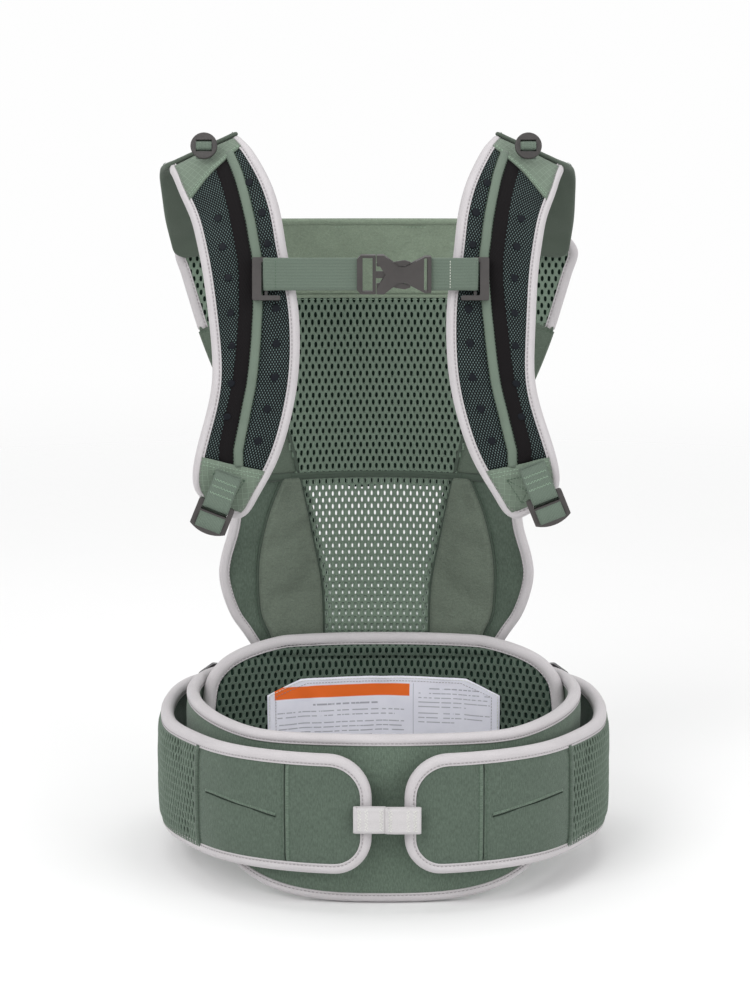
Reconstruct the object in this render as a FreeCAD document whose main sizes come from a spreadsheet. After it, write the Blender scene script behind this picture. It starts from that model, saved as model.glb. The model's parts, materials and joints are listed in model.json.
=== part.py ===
import FreeCAD, Part
import os
import Sketcher
from FreeCAD import Vector as V

# Soft baby carrier: waist belt ring, back panel with seat, two padded shoulder
# straps and a chest strap.  Frame: +X to the right when the closing side of the
# belt faces the reader, +Y towards the back panel, +Z up, millimetres.  The
# origin is the centre of the waist ring on the plane it stands on.  "Front" is
# the closing side, -Y; "left" is -X.

doc = FreeCAD.newDocument("SoftBabyCarrier")
sheet = doc.addObject("Spreadsheet::Sheet", "Params")

# alias, value, note
PARAMS = [
    ("ring_dy", -15.74, "shift of the ring so that the origin is its centre"),
    ("belt_lo", 25, "outer belt lower edge"),
    ("belt_hi", 123, "outer belt upper edge"),
    ("belt_thick", 13, "outer belt padding thickness"),
    ("belt_corner", 27, "corner radius of the belt wing ends"),
    ("bind_wide", 9, "edge binding width on the belts"),
    ("bind_proud", 1.6, "edge binding stands proud of the padding"),
    ("wing_end_left", -10, "x of the left wing end"),
    ("wing_end_right", 16, "x of the right wing end"),
    ("tab_wide", 21, "closure tape width"),
    ("tab_thick", 3, "closure tape thickness, doubled tape"),
    ("tab_join", 1.2, "x where the two closure tapes meet"),
    ("tab_mid", 76, "closure tape mid height"),
    ("lumbar_hi", 137, "inner belt upper edge"),
    ("lumbar_thick", 12, "inner belt padding thickness"),
    ("waist_thick", 13, "waist panel padding thickness"),
    ("waist_hi", 166, "waist panel upper edge"),
    ("waist_y", 116, "waist panel back face at the middle"),
    ("label_w", 196, "care label width"),
    ("label_lo", 68, "care label lower edge"),
    ("label_hi", 128, "care label upper edge"),
    ("label_thick", 0.8, "care label thickness"),
    ("body_cx", -6, "middle of the back panel"),
    ("head_hi", 515, "back panel upper edge"),
    ("head_seam", 452, "seam between head band and mesh"),
    ("seat_seam", 294, "seam between back mesh and seat mesh"),
    ("panel_thick", 4, "back panel thickness"),
    ("pad_thick", 13, "side pad thickness"),
    ("strap_thick", 11, "shoulder strap padding thickness"),
    ("strap_bind", 7, "shoulder strap binding width"),
    ("cover_thick", 1.6, "strap mesh cover thickness"),
    ("rail_w", 6, "chest strap rail piping width"),
    ("rail_proud", 3, "rail piping height above the cover"),
    ("web_w", 25, "webbing width"),
    ("web_thick", 1.8, "webbing thickness"),
    ("tape_w", 20, "strap end tape width"),
    ("panel_rise", 16, "lift of the back panel and straps above the belt ring"),
    ("chest_z", 494.5, "chest strap mid height"),
    ("chest_y", -68, "chest strap mid plane"),
    ("slider_lx", -98, "left chest slider bar"),
    ("slider_rx", 77, "right chest slider bar"),
    ("slider_bar", 7, "chest slider bar width"),
    ("slider_len", 33, "chest slider length"),
    ("buckle_half", 15, "chest buckle half height"),
    ("buckle_thick", 7, "chest buckle thickness"),
    ("male_lx", -21, "chest buckle insert, outer bar"),
    ("male_rx", -6.5, "chest buckle insert, shoulder"),
    ("female_rx", 36, "chest buckle housing, outer bar"),
    ("lock_w", 29, "ladder lock width"),
    ("lock_len", 21, "ladder lock length without its curved lip"),
    ("lock_thick", 4.5, "ladder lock thickness"),
    ("lock_tilt", 22, "ladder lock lean in the strap plane"),
    ("disc_dia", 21, "toggle disc diameter"),
    ("disc_thick", 3.6, "toggle disc thickness"),
    ("clear", 0.3, "clearance between sewn neighbours"),
]
for row, (alias, value, note) in enumerate(PARAMS, start=1):
    sheet.set("A%d" % row, alias)
    sheet.set("B%d" % row, str(value))
    sheet.set("C%d" % row, note)
    sheet.setAlias("B%d" % row, alias)
doc.recompute()


def param(alias):
    return float(sheet.get(alias))


RING_DY = param("ring_dy")
RISE = param("panel_rise")
CLEAR = param("clear")
BIND_WIDE = param("bind_wide")
BIND_PROUD = param("bind_proud")
SIDES = (("left", -1), ("right", 1))
NODES = []


# ---------------------------------------------------------- shared helpers
def placed(x, y, z, rotation=None):
    """Placement in ring coordinates, shifted to the common origin."""
    return FreeCAD.Placement(V(x, RING_DY + y, z), rotation or FreeCAD.Rotation())


def feature(label, shape):
    """A free-form piece whose shape is set from Part's own functions."""
    piece = doc.addObject("Part::Feature", label)
    piece.Label = label
    piece.Shape = shape
    piece.Placement = placed(0, 0, 0)
    NODES.append(piece)


def lift(table):
    """Raises a table keyed by height with the back panel."""
    return [(z + RISE, value) for z, value in table]


def interp(table, x):
    """Smooth cubic interpolation through (x, y) pairs, clamped at the ends."""
    points = sorted(table)
    if x <= points[0][0]:
        return points[0][1]
    if x >= points[-1][0]:
        return points[-1][1]
    i = 0
    while x > points[i + 1][0]:
        i += 1
    x0, y0 = points[i]
    x1, y1 = points[i + 1]
    before = points[max(i - 1, 0)]
    after = points[min(i + 2, len(points) - 1)]
    slope0 = (y1 - before[1]) / (x1 - before[0])
    slope1 = (after[1] - y0) / (after[0] - x0)
    span = x1 - x0
    s = (x - x0) / span
    return (
        (2 * s**3 - 3 * s**2 + 1) * y0
        + (s**3 - 2 * s**2 + s) * span * slope0
        + (-2 * s**3 + 3 * s**2) * y1
        + (s**3 - s**2) * span * slope1
    )


def polygon(points):
    return Part.makePolygon(points + [points[0]])


def ruled(wires):
    """Solid loft with straight rulings between closed wires."""
    shape = Part.makeLoft(wires, True, True)
    if shape.Volume < 0:
        shape.reverse()
    return shape


def section(x0, x1, count, z, face_y, front, back, middle=0.0):
    """Level wire from front before the face y to back behind it."""
    xs = [x0 + (x1 - x0) * i / count for i in range(count + 1)]
    near = [V(x + middle, face_y(x) - front, z) for x in xs]
    far = [V(x + middle, face_y(x) + back, z) for x in reversed(xs)]
    return polygon(near + far)


def binding(shell, opening, core):
    """Edge binding: a shell opened through its faces and hollowed for the padding."""
    return shell.cut(opening).cut(core)


# -------------------------------------------------------------- belt bands
# Plan curves (x, y) of the belts' outer faces, right half.
# Outer belt, from the middle of the back round to the front.
WING_CURVE = [
    (0, 152), (45, 154), (90, 160), (124, 166), (152, 158), (171, 137), (182, 104),
    (186, 45), (180, 3), (162, -40), (128, -92), (84, -119), (45, -129), (0, -131),
]
# Inner belt, from its end at the back round to the middle of the front.
LUMBAR_CURVE = [
    (133, 120), (147, 108), (158, 88), (164, 56), (161, 18), (150, -20),
    (128, -62), (100, -91), (60, -103), (0, -107),
]
REAR_POINTS = 12  # points of WING_CURVE that shape the fixed rear section
HINGE_Y = -60.0  # where the wings meet the rear section
HINGE_GAP = 0.6
BAND_STEP = 16  # spacing of the points along a band
BAND_MIDDLE = V(0, 10, 0)  # point that tells inwards from outwards
CUT_OVER = 5  # overrun of the cutting bodies


def mirrored(points, side):
    return [(side * x, y) for x, y in points]


class Curve(object):
    """Plan curve measured by the distance travelled along it."""

    def __init__(self, points):
        spline = Part.BSplineCurve()
        spline.interpolate([V(x, y, 0) for x, y in points])
        self.points = spline.toShape().discretize(Number=241)
        self.travel = [0.0]
        for a, b in zip(self.points, self.points[1:]):
            self.travel.append(self.travel[-1] + (b - a).Length)
        self.length = self.travel[-1]

    def at(self, distance):
        """Point and unit direction at a distance, clamped to the curve."""
        distance = max(0.0, min(self.length, distance))
        i = 0
        while self.travel[i + 1] < distance:
            i += 1
        part = (distance - self.travel[i]) / (self.travel[i + 1] - self.travel[i])
        point = self.points[i] + (self.points[i + 1] - self.points[i]) * part
        last = len(self.points) - 1
        direction = self.points[min(i + 2, last)] - self.points[max(i - 1, 0)]
        direction.normalize()
        return point, direction

    def where_y(self, y):
        """Distance of the first crossing of y."""
        for i in range(len(self.points) - 1):
            a, b = self.points[i].y, self.points[i + 1].y
            if (a - y) * (b - y) <= 0:
                step = self.travel[i + 1] - self.travel[i]
                return self.travel[i] + step * (y - a) / (b - a)
        raise ValueError(y)

    def where_x(self, x):
        """Distance of the point nearest to x in front of the hinges."""
        front = [i for i, point in enumerate(self.points) if point.y <= HINGE_Y]
        return self.travel[min(front, key=lambda i: abs(self.points[i].x - x))]


def band(curve, start, end, outer, inner, bottom, top, end_radius=0.0):
    """Solid along the curve between two inward offsets; may round its last end."""
    count = max(4, int((end - start) / BAND_STEP))
    rows = []
    for offset in (outer, inner):
        points = []
        for i in range(count + 1):
            point, direction = curve.at(start + (end - start) * i / count)
            inward = V(-direction.y, direction.x, 0)
            if inward.dot(BAND_MIDDLE - point) < 0:
                inward = inward * -1
            points.append(
                V(point.x + inward.x * offset, point.y + inward.y * offset, bottom)
            )
        rows.append(points)
    outer_face = Part.BSplineCurve()
    outer_face.interpolate(rows[0])
    inner_face = Part.BSplineCurve()
    inner_face.interpolate(rows[1])
    wire = Part.Wire(
        [
            outer_face.toShape(),
            Part.LineSegment(rows[0][-1], rows[1][-1]).toShape(),
            inner_face.toShape(),
            Part.LineSegment(rows[1][0], rows[0][0]).toShape(),
        ]
    )
    solid = Part.Face(wire).extrude(V(0, 0, top - bottom))
    if end_radius > 0:
        middle = (rows[0][-1] + rows[1][-1]) * 0.5
        reach = abs(inner - outer) * 0.51 + 0.1

        def near_end(point):
            return (V(point.x, point.y, 0) - V(middle.x, middle.y, 0)).Length < reach

        # the level edges across the thickness at the last end
        edges = []
        for edge in solid.Edges:
            a, b = edge.Vertexes[0].Point, edge.Vertexes[-1].Point
            if abs(a.z - b.z) < 1e-6 and near_end(a) and near_end(b):
                edges.append(edge)
        solid = solid.makeFillet(end_radius, edges)
    return solid


def belt_wing(tag, side):
    """Front wing of the outer belt, with binding round its edges."""
    low, high, thick = param("belt_lo"), param("belt_hi"), param("belt_thick")
    radius = param("belt_corner")
    wide, proud = BIND_WIDE, BIND_PROUD
    curve = Curve(mirrored(WING_CURVE, side))
    hinge = curve.where_y(HINGE_Y)
    start = hinge + HINGE_GAP
    before = hinge - CUT_OVER
    end = curve.where_x(param("wing_end_" + tag))
    feature(
        "belt_wing_" + tag,
        band(curve, start, end - 2.2, proud + 0.2, thick, low + 2.2, high - 2.2, radius - 2.2),
    )
    shell = band(curve, start, end, 0, thick + proud, low, high, radius)
    opening = band(
        curve, before, end - wide, -CUT_OVER, thick + proud + CUT_OVER,
        low + wide, high - wide, radius - wide,
    )
    core = band(curve, before, end - 2, proud, thick + 0.2, low + 2, high - 2, radius - 2)
    feature("wing_binding_" + tag, binding(shell, opening, core))


def rear_belt():
    """Fixed section of the outer belt: side, round the back, other side."""
    low, high, thick = param("belt_lo"), param("belt_hi"), param("belt_thick")
    wide, proud = BIND_WIDE, BIND_PROUD
    right = WING_CURVE[:REAR_POINTS]
    curve = Curve(mirrored(reversed(right[1:]), -1) + right)
    hinge = curve.where_y(HINGE_Y)
    start = hinge + HINGE_GAP
    end = curve.length - hinge - HINGE_GAP
    before, after = hinge - 8, curve.length - hinge + 8
    feature(
        "belt_back",
        band(curve, start, end, proud + 0.2, thick, low + 2.2, high - 2.2),
    )
    shell = band(curve, start, end, 0, thick + proud, low, high)
    opening = band(
        curve, before, after, -CUT_OVER, thick + proud + CUT_OVER, low + wide, high - wide
    )
    core = band(curve, before, after, proud, thick + 0.2, low + 2, high - 2)
    feature("belt_back_binding", binding(shell, opening, core))


def lumbar_belt():
    """Inner belt, round the front, with upper binding and a low front binding."""
    thick, high = param("lumbar_thick"), param("lumbar_hi")
    wide, proud = BIND_WIDE, BIND_PROUD
    below = -20
    low_half = 118  # half length of the low binding
    curve = Curve(LUMBAR_CURVE + mirrored(reversed(LUMBAR_CURVE[:-1]), -1))
    end = curve.length
    feature("lumbar_belt", band(curve, 3, end - 3, proud + 0.2, thick, 0, high - 2.2))
    shell = band(curve, 0, end, 0, thick + proud, 10, high)
    opening = band(
        curve, wide, end - wide, -CUT_OVER, thick + proud + CUT_OVER, below, high - wide
    )
    core = band(curve, 2.8, end - 2.8, proud, thick + 0.2, below, high - 2)
    upper = binding(shell, opening, core)
    # along the outer face only
    lower = band(
        curve, end * 0.5 - low_half, end * 0.5 + low_half, 0, proud + 0.1, 0, wide - 2
    )
    feature("lumbar_binding", Part.makeCompound([upper, lower]))


for tag, side in SIDES:
    belt_wing(tag, side)
rear_belt()
lumbar_belt()

# ------------------------------------------------------------- waist panel
# (z, half width) of the waist panel outline
WAIST_HALF = [
    (0, 138), (60, 144), (100, 147.5), (112, 147), (136, 143),
    (150, 132), (158, 117), (163, 99), (166, 82),
]
WAIST_LEVELS = (40, 80, 100, 120, 135, 146, 154, 160, 163.5, 166)
WAIST_BEND = 42.0  # how far the panel comes forward at WAIST_BEND_X
WAIST_BEND_X = 150.0


def waist_y(x):
    return param("waist_y") - WAIST_BEND * (abs(x) / WAIST_BEND_X) ** 2.3


def waist_rows(shrink, bottom=0.0):
    """Rows (z, half width) of the outline drawn in by shrink at sides and top."""
    rows = []
    top = param("waist_hi") - shrink
    for level in (bottom,) + WAIST_LEVELS:
        z = min(level, top)
        half = interp(WAIST_HALF, level) - shrink
        if rows and z <= rows[-1][0] + 0.5:
            # levels clipped to the top collapse into one row
            rows[-1] = (z, min(rows[-1][1], half))
        else:
            rows.append((z, half))
    return rows


def waist_plate(rows, front, back):
    return ruled([section(-half, half, 10, z, waist_y, front, back) for z, half in rows])


def waist_panel():
    thick, proud = param("waist_thick"), BIND_PROUD
    below = -20.0
    feature(
        "waist_panel",
        waist_plate(waist_rows(3.0), thick - proud - 0.2, -proud - 0.2),
    )
    shell = waist_plate(waist_rows(0.0), thick, 0)
    opening = waist_plate(waist_rows(BIND_WIDE, below), thick + 6, 6)
    core = waist_plate(waist_rows(2.7, below), thick - proud, -proud)
    feature("waist_binding", binding(shell, opening, core))


def care_label():
    """Label on the front face of the waist panel, its top corners cut off."""
    seat = param("waist_thick") - BIND_PROUD + 0.1
    half, top = param("label_w") / 2, param("label_hi")
    rows = [(param("label_lo"), half), (top - 12, half), (top, half - 30)]
    feature("care_label", waist_plate(rows, seat + param("label_thick"), -seat - 0.02))


waist_panel()
care_label()

# -------------------------------------------------------------- back panel
# Half widths by height (z, half width): outer edge, edge of the middle mesh,
# outer edge of the side pads.
OUTER_HALF = lift([
    (60, 94), (100, 95), (124, 100), (144, 111), (161, 122), (180, 129), (198, 132),
    (214, 130), (239, 123), (263, 120), (288, 115), (322, 116), (350, 125), (384, 138),
    (410, 147), (434, 154), (455, 160), (472, 165), (482, 161), (490, 151), (497, 134),
    (499, 130),
])
MESH_HALF = lift([
    (60, 44), (141, 45), (185, 47), (227, 55.6), (268, 64), (316, 74), (348, 87),
    (400, 96), (436, 102),
])
LOBE_HALF = lift([
    (60, 74), (124, 84), (145, 91), (160, 98), (188, 100.7), (213, 99.6), (245, 92.5),
    (272, 82), (278, 79),
])
# Depth of the panel by height (z, y): at the middle and at the outer edge.
MIDDLE_Y = lift([
    (60, 131), (120, 131), (150, 135), (180, 145), (220, 153), (260, 155), (300, 148),
    (350, 133), (400, 119), (436, 111), (470, 106), (499, 103),
])
EDGE_Y = lift([
    (60, 125), (120, 124), (144, 121), (180, 117), (214, 115), (263, 117), (322, 116),
    (384, 104), (436, 99), (499, 98),
])
BODY_X = param("body_cx")
HEAD_SEAM = param("head_seam")
SEAT_SEAM = param("seat_seam")
PANEL_HALF_THICK = param("panel_thick") / 2
EDGE_BIND = 8.0  # binding width along the panel's outer edge
HEAD_HALF = 118.0  # half width of the head band
WING_Z = 386.0 + RISE  # lower edge of the head wings
LEG_Z = 312.0 + RISE  # upper end of the binding round the legs
LEG_LOW = 100 + RISE
WING_TOP = 496 + RISE
SECTION_STEP = 14.0
SPLIT_HALF = 0.4  # half height of an abrupt change of width


def body_y(x, z):
    middle, edge, half = interp(MIDDLE_Y, z), interp(EDGE_Y, z), interp(OUTER_HALF, z)
    return middle - (middle - edge) * min(1.15, abs(x) / half) ** 2.2


def panel(label, bottom, top, left, right, front, back, splits=()):
    """Curved panel between left(z) and right(z); splits are heights of sharp steps."""
    count = max(2, int(round((top - bottom) / SECTION_STEP)))
    levels = [bottom + (top - bottom) * i / count for i in range(count + 1)]
    levels = [z for z in levels if all(abs(z - split) > 4 for split in splits)]
    for split in splits:
        levels += [split - SPLIT_HALF, split + SPLIT_HALF]
    middle = (bottom + top) / 2
    columns = max(4, int(abs(right(middle) - left(middle)) / 16))
    feature(label, ruled([
        section(left(z), right(z), columns, z, lambda x: body_y(x, z), front, back, BODY_X)
        for z in sorted(levels)
    ]))


def edge(table, offset=0.0):
    """Half width as a function of height, moved outwards by offset."""
    return lambda z: interp(table, z) + offset


def opposite(half):
    return lambda z: -half(z)


def centred_panel(label, bottom, top, half, half_thick):
    panel(label, bottom, top, opposite(half), half, half_thick, half_thick)


def side_panel_edge(z):
    if z > WING_Z:
        return HEAD_HALF - CLEAR
    return interp(OUTER_HALF, z) - (EDGE_BIND + CLEAR if z < LEG_Z else CLEAR)


def side_panels(tag, side):
    thick = PANEL_HALF_THICK
    bind = thick + 1
    outer, bind_inner = edge(OUTER_HALF), edge(OUTER_HALF, -EDGE_BIND)
    inside_bind = edge(OUTER_HALF, -EDGE_BIND - CLEAR)
    beside_mesh = edge(MESH_HALF, CLEAR)
    # label, bottom, top, inner edge, outer edge, front, back, splits
    pieces = (
        ("side_panel_", SEAT_SEAM + CLEAR, HEAD_SEAM - CLEAR,
         beside_mesh, side_panel_edge, thick, thick, (WING_Z, LEG_Z)),
        ("head_wing_", WING_Z + 1.2, WING_TOP,
         lambda z: HEAD_HALF + CLEAR, inside_bind, thick, thick, ()),
        ("wing_edge_binding_", WING_Z + 1.2, WING_TOP,
         bind_inner, outer, bind, bind, ()),
        ("seat_binding_", LEG_LOW, LEG_Z - SPLIT_HALF,
         bind_inner, outer, bind, bind, ()),
        ("side_pad_", 84 + RISE, SEAT_SEAM - CLEAR,
         beside_mesh, edge(LOBE_HALF, -CLEAR), param("pad_thick") - 3, 3, ()),
        ("leg_edge_", LEG_LOW, SEAT_SEAM - CLEAR,
         edge(LOBE_HALF, CLEAR), inside_bind, thick, thick, ()),
    )
    for stem, bottom, top, near, far, front, back, splits in pieces:
        left, right = (near, far) if side > 0 else (opposite(far), opposite(near))
        panel(stem + tag, bottom, top, left, right, front, back, splits)


centred_panel(
    "head_band", HEAD_SEAM + CLEAR, param("head_hi"),
    lambda z: HEAD_HALF - CLEAR, PANEL_HALF_THICK + 0.6,
)
centred_panel(
    "back_mesh", SEAT_SEAM + CLEAR, HEAD_SEAM - CLEAR, edge(MESH_HALF, -CLEAR), PANEL_HALF_THICK
)
centred_panel("seat_mesh", 60 + RISE, SEAT_SEAM - CLEAR, edge(MESH_HALF, -CLEAR), 1.5)
for tag, side in SIDES:
    side_panels(tag, side)

# --------------------------------------------------------- shoulder straps
# Stations of the left strap from its crest down the front, before the rise:
# x outer, z outer, x inner, z inner, y
STRAP = [
    (-170.2, 551.5, -113.6, 578.0, 10),
    (-166.0, 545.5, -107.5, 573.5, -2),
    (-160.6, 534.8, -100.4, 565.2, -14),
    (-152.0, 519.8, -89.1, 546.9, -32),
    (-146.1, 502.7, -80.3, 521.3, -45),
    (-140.5, 476.9, -74.9, 492.4, -55),
    (-136.2, 445.3, -67.9, 460.8, -62),
    (-133.6, 419.5, -65.3, 427.3, -67),
    (-133.7, 392.7, -67.3, 392.7, -70),
    (-139.3, 365.6, -74.4, 357.7, -72),
    (-145.7, 342.1, -84.6, 328.7, -73),
    (-149.1, 318.2, -97.9, 303.9, -73),
    (-144.5, 300.5, -109.4, 281.5, -72),
]
# Rear leg of the left strap, from the crest down to the back panel's top
# corner; same columns.
YOKE = [
    (-171.6, 550.5, -114.2, 577.5, 12.6),
    (-175.0, 549.0, -116.0, 574.5, 21),
    (-177.8, 541.5, -118.0, 565.0, 34),
    (-177.3, 526.5, -119.5, 549.0, 47),
    (-176.0, 506.3, -122.0, 526.0, 61),
    (-173.5, 488.0, -125.0, 500.0, 76),
    (-170.0, 468.0, -127.0, 473.0, 89),
]
# (z, x) of the plane the straps mirror about
STRAP_MIDDLE = lift([
    (300, -6.0), (380, -8.0), (440, -9.0), (480, -10.5), (540, -12.5), (577, -14.5),
])
# (z, x) of the rail piping on the left strap
RAIL = lift([
    (566.0, -124.0), (558.0, -120.9), (539.6, -111.6), (519.3, -104.8),
    (498.5, -100.4), (484.0, -97.9), (458.0, -97.5), (422.7, -99.3),
    (394.2, -102.6), (367.4, -107.9), (341.6, -113.1),
])
RAIL_END = 10.2  # station where the mesh cover stops
YOKE_THICK = 4.0


def mirror_x(x, z):
    """Right-hand x for a left-hand x at height z."""
    return 2 * interp(STRAP_MIDDLE, z) - x


def strap_frame(table, side, facing):
    """Stations (centre, unit outer to inner, normal towards facing, width)."""
    edges = []
    for x_outer, z_outer, x_inner, z_inner, y in table:
        outer, inner = V(x_outer, y, z_outer + RISE), V(x_inner, y, z_inner + RISE)
        if side > 0:
            middle_z = (outer.z + inner.z) / 2
            outer.x = mirror_x(outer.x, middle_z)
            inner.x = mirror_x(inner.x, middle_z)
        edges.append((outer, inner))
    centres = [(outer + inner) * 0.5 for outer, inner in edges]
    frame = []
    for k, (outer, inner) in enumerate(edges):
        tangent = centres[min(k + 1, len(centres) - 1)] - centres[max(k - 1, 0)]
        lateral = inner - outer
        width = lateral.Length
        lateral.normalize()
        tangent = tangent - lateral * tangent.dot(lateral)
        tangent.normalize()
        normal = lateral.cross(tangent)
        if normal.dot(facing) < 0:
            normal = normal * -1
        frame.append((centres[k], lateral, normal, width))
    return frame


def station(frame, k):
    """Interpolated station at a fractional index."""
    k = max(0.0, min(len(frame) - 1.0, k))
    i = min(int(k), len(frame) - 2)
    part = k - i
    centre, lateral, normal, width = [
        a * (1 - part) + b * part for a, b in zip(frame[i], frame[i + 1])
    ]
    lateral.normalize()
    normal.normalize()
    return centre, lateral, normal, width


def strip(frame, start, end, left, right, low, high):
    """Loft along stations start to end.

    left(k, width) and right(k, width) are distances from the centre line
    towards the inner edge; low and high are heights along the normal.
    """
    inner_stations = [k for k in range(len(frame)) if start + 0.2 < k < end - 0.2]
    wires = []
    for k in [start] + inner_stations + [end]:
        centre, lateral, normal, width = station(frame, k)
        a, b = centre + lateral * left(k, width), centre + lateral * right(k, width)
        wires.append(
            polygon([a + normal * low, b + normal * low, b + normal * high, a + normal * high])
        )
    return ruled(wires)


def outer_edge(inset):
    return lambda k, width: -width / 2 + inset


def inner_edge(inset):
    return lambda k, width: width / 2 - inset


def inset_strip(frame, start, end, inset, low, high):
    """Strip that keeps the same inset from both strap edges."""
    return strip(frame, start, end, outer_edge(inset), inner_edge(inset), low, high)


def shoulder_strap(tag, side):
    """Padding, binding, mesh cover, rail piping and patches of one strap."""
    frame = strap_frame(STRAP, side, V(0, -1, 0))
    last = len(frame) - 1.0
    thick, bind, cover = param("strap_thick"), param("strap_bind"), param("cover_thick")
    rail_half = param("rail_w") / 2
    cover_inset = bind + 0.3

    def beside_rail(offset):
        def distance(k, width):
            centre, lateral = station(frame, k)[:2]
            x = interp(RAIL, centre.z)
            if side > 0:
                x = mirror_x(x, centre.z)
            return (x - centre.x) / lateral.x + offset

        return distance

    feature(
        "strap_pad_" + tag,
        inset_strip(frame, 0.05, last - 0.25, 2.2, -thick, -cover - 0.2),
    )
    # binding round both edges and the lower end
    shell = inset_strip(frame, 0, last, 0, -thick - 1.2, 1.2)
    opening = inset_strip(frame, 0, last - 0.55, bind, -thick - 6, 6)
    core = inset_strip(frame, 0, last - 0.2, 2.0, -thick - 0.2, 0.1)
    feature("strap_binding_" + tag, binding(shell, opening, core))
    # mesh cover in two lanes, one each side of the rail piping
    outer_lane = strip(
        frame, 2.2, RAIL_END, outer_edge(cover_inset), beside_rail(-rail_half - 0.3), -cover, 0
    )
    inner_lane = strip(
        frame, 1.9, RAIL_END, beside_rail(rail_half + 0.3), inner_edge(cover_inset), -cover, 0
    )
    feature("strap_mesh_" + tag, outer_lane.fuse(inner_lane))
    feature(
        "strap_rail_" + tag,
        strip(
            frame, 1.75, RAIL_END - 0.1, beside_rail(-rail_half), beside_rail(rail_half),
            -cover, param("rail_proud"),
        ),
    )
    feature(
        "strap_top_patch_" + tag,
        inset_strip(frame, 0.08, 1.7, cover_inset, -cover, 0.4),
    )
    feature(
        "strap_end_patch_" + tag,
        inset_strip(frame, RAIL_END + 0.05, last - 0.6, cover_inset, -cover, 0.4),
    )


def yoke(tag, side):
    frame = strap_frame(YOKE, side, V(0, 0, 1))
    feature("yoke_" + tag, inset_strip(frame, 0, len(frame) - 1, 0, 0, YOKE_THICK))


for tag, side in SIDES:
    shoulder_strap(tag, side)
    yoke(tag, side)


# -------------------------------------------------- helpers for the bodies
def new_body(label):
    body = doc.addObject("PartDesign::Body", label)
    body.Label = label
    NODES.append(body)
    return body


def new_sketch(body, name, offset=0.0):
    """Sketch on the body's XZ plane; a positive offset moves it to the front."""
    sketch = body.newObject("Sketcher::SketchObject", name)
    plane = [f for f in body.Origin.OriginFeatures if f.Role == "XZ_Plane"][0]
    sketch.AttachmentSupport = (plane, [""])
    sketch.MapMode = "FlatFace"
    if offset:
        sketch.AttachmentOffset = FreeCAD.Placement(V(0, 0, offset), FreeCAD.Rotation())
    return sketch


def draw_polygon(sketch, points):
    """Closed outline; returns the index of its first line."""
    first = len(sketch.Geometry)
    count = len(points)
    for i in range(count):
        a, b = points[i], points[(i + 1) % count]
        sketch.addGeometry(Part.LineSegment(V(a[0], a[1], 0), V(b[0], b[1], 0)), False)
    for i in range(count):
        sketch.addConstraint(
            Sketcher.Constraint("Coincident", first + i, 2, first + (i + 1) % count, 1)
        )
    return first


def bind_size(sketch, constraint, name, expression):
    index = sketch.addConstraint(constraint)
    sketch.renameConstraint(index, name)
    sketch.setExpression("Constraints." + name, expression)


def draw_rectangle(sketch, x0, y0, x1, y1, width=None, height=None):
    """Rectangle; width and height are optional expressions that drive it."""
    first = draw_polygon(sketch, [(x0, y0), (x1, y0), (x1, y1), (x0, y1)])
    for i, kind in enumerate(("Horizontal", "Vertical", "Horizontal", "Vertical")):
        sketch.addConstraint(Sketcher.Constraint(kind, first + i))
    if width:
        size = Sketcher.Constraint("DistanceX", first, 1, first, 2, x1 - x0)
        bind_size(sketch, size, "width%d" % first, width)
    if height:
        size = Sketcher.Constraint("DistanceY", first + 1, 1, first + 1, 2, y1 - y0)
        bind_size(sketch, size, "height%d" % first, height)


def pad(body, sketch, name, length, midplane=True):
    """Pad whose length is a number or an expression."""
    result = body.newObject("PartDesign::Pad", name)
    result.Profile = sketch
    if midplane:
        result.Midplane = True
    if isinstance(length, str):
        result.setExpression("Length", length)
    else:
        result.Length = length
    body.Tip = result
    return result


def pocket(body, sketch, name, length):
    """Midplane pocket that has to remove material."""
    before = body.Tip
    result = body.newObject("PartDesign::Pocket", name)
    result.Profile = sketch
    result.Midplane = True
    result.Length = length
    body.Tip = result
    doc.recompute()
    assert result.Shape.Volume < before.Shape.Volume - 1
    return result


def round_edges(body, base, name, radius, pick):
    """Fillet on the edges of base that pick accepts."""
    doc.recompute()
    names = ["Edge%d" % i for i, e in enumerate(base.Shape.Edges, start=1) if pick(e)]
    result = body.newObject("PartDesign::Fillet", name)
    result.Base = (base, names)
    result.Radius = radius
    body.Tip = result
    doc.recompute()


def along_y(least):
    """Picks edges parallel to Y that are longer than least."""

    def pick(candidate):
        a, b = candidate.Vertexes[0].Point, candidate.Vertexes[-1].Point
        return abs(a.y - b.y) > least and abs(a.x - b.x) < 1e-4 and abs(a.z - b.z) < 1e-4

    return pick


THROUGH = 20.0  # pocket length that passes any of the bodies

# --------------------------------------------- closure tapes, side plates
TAB_LEFT_X = -22.0  # far ends of the two closure tapes
TAB_RIGHT_X = 28.5
TAB_Y = -131.6
TAB_GAP_HALF = 0.4
# (x, z) outline of the right side plate about its own origin
PLATE_OUTLINE = [(-22, -20), (10, -20), (16, -8), (12, 10), (0, 18), (-14, 16), (-22, 6)]


def closure_tab(tag, x0, x1):
    """Closure tape sewn to a wing end."""
    body = new_body("closure_tab_" + tag)
    wide = param("tab_wide")
    sketch = new_sketch(body, "TabProfile_" + tag)
    draw_rectangle(sketch, 0, 0, x1 - x0, wide, height="Params.tab_wide")
    sketch.addConstraint(Sketcher.Constraint("Coincident", 0, 1, -1, 1))
    sketch.addConstraint(Sketcher.Constraint("DistanceX", 0, 1, 0, 2, x1 - x0))
    pad(body, sketch, "TabPad_" + tag, "Params.tab_thick", midplane=False)
    body.Placement = placed(x0, TAB_Y, param("tab_mid") - wide / 2)


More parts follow.
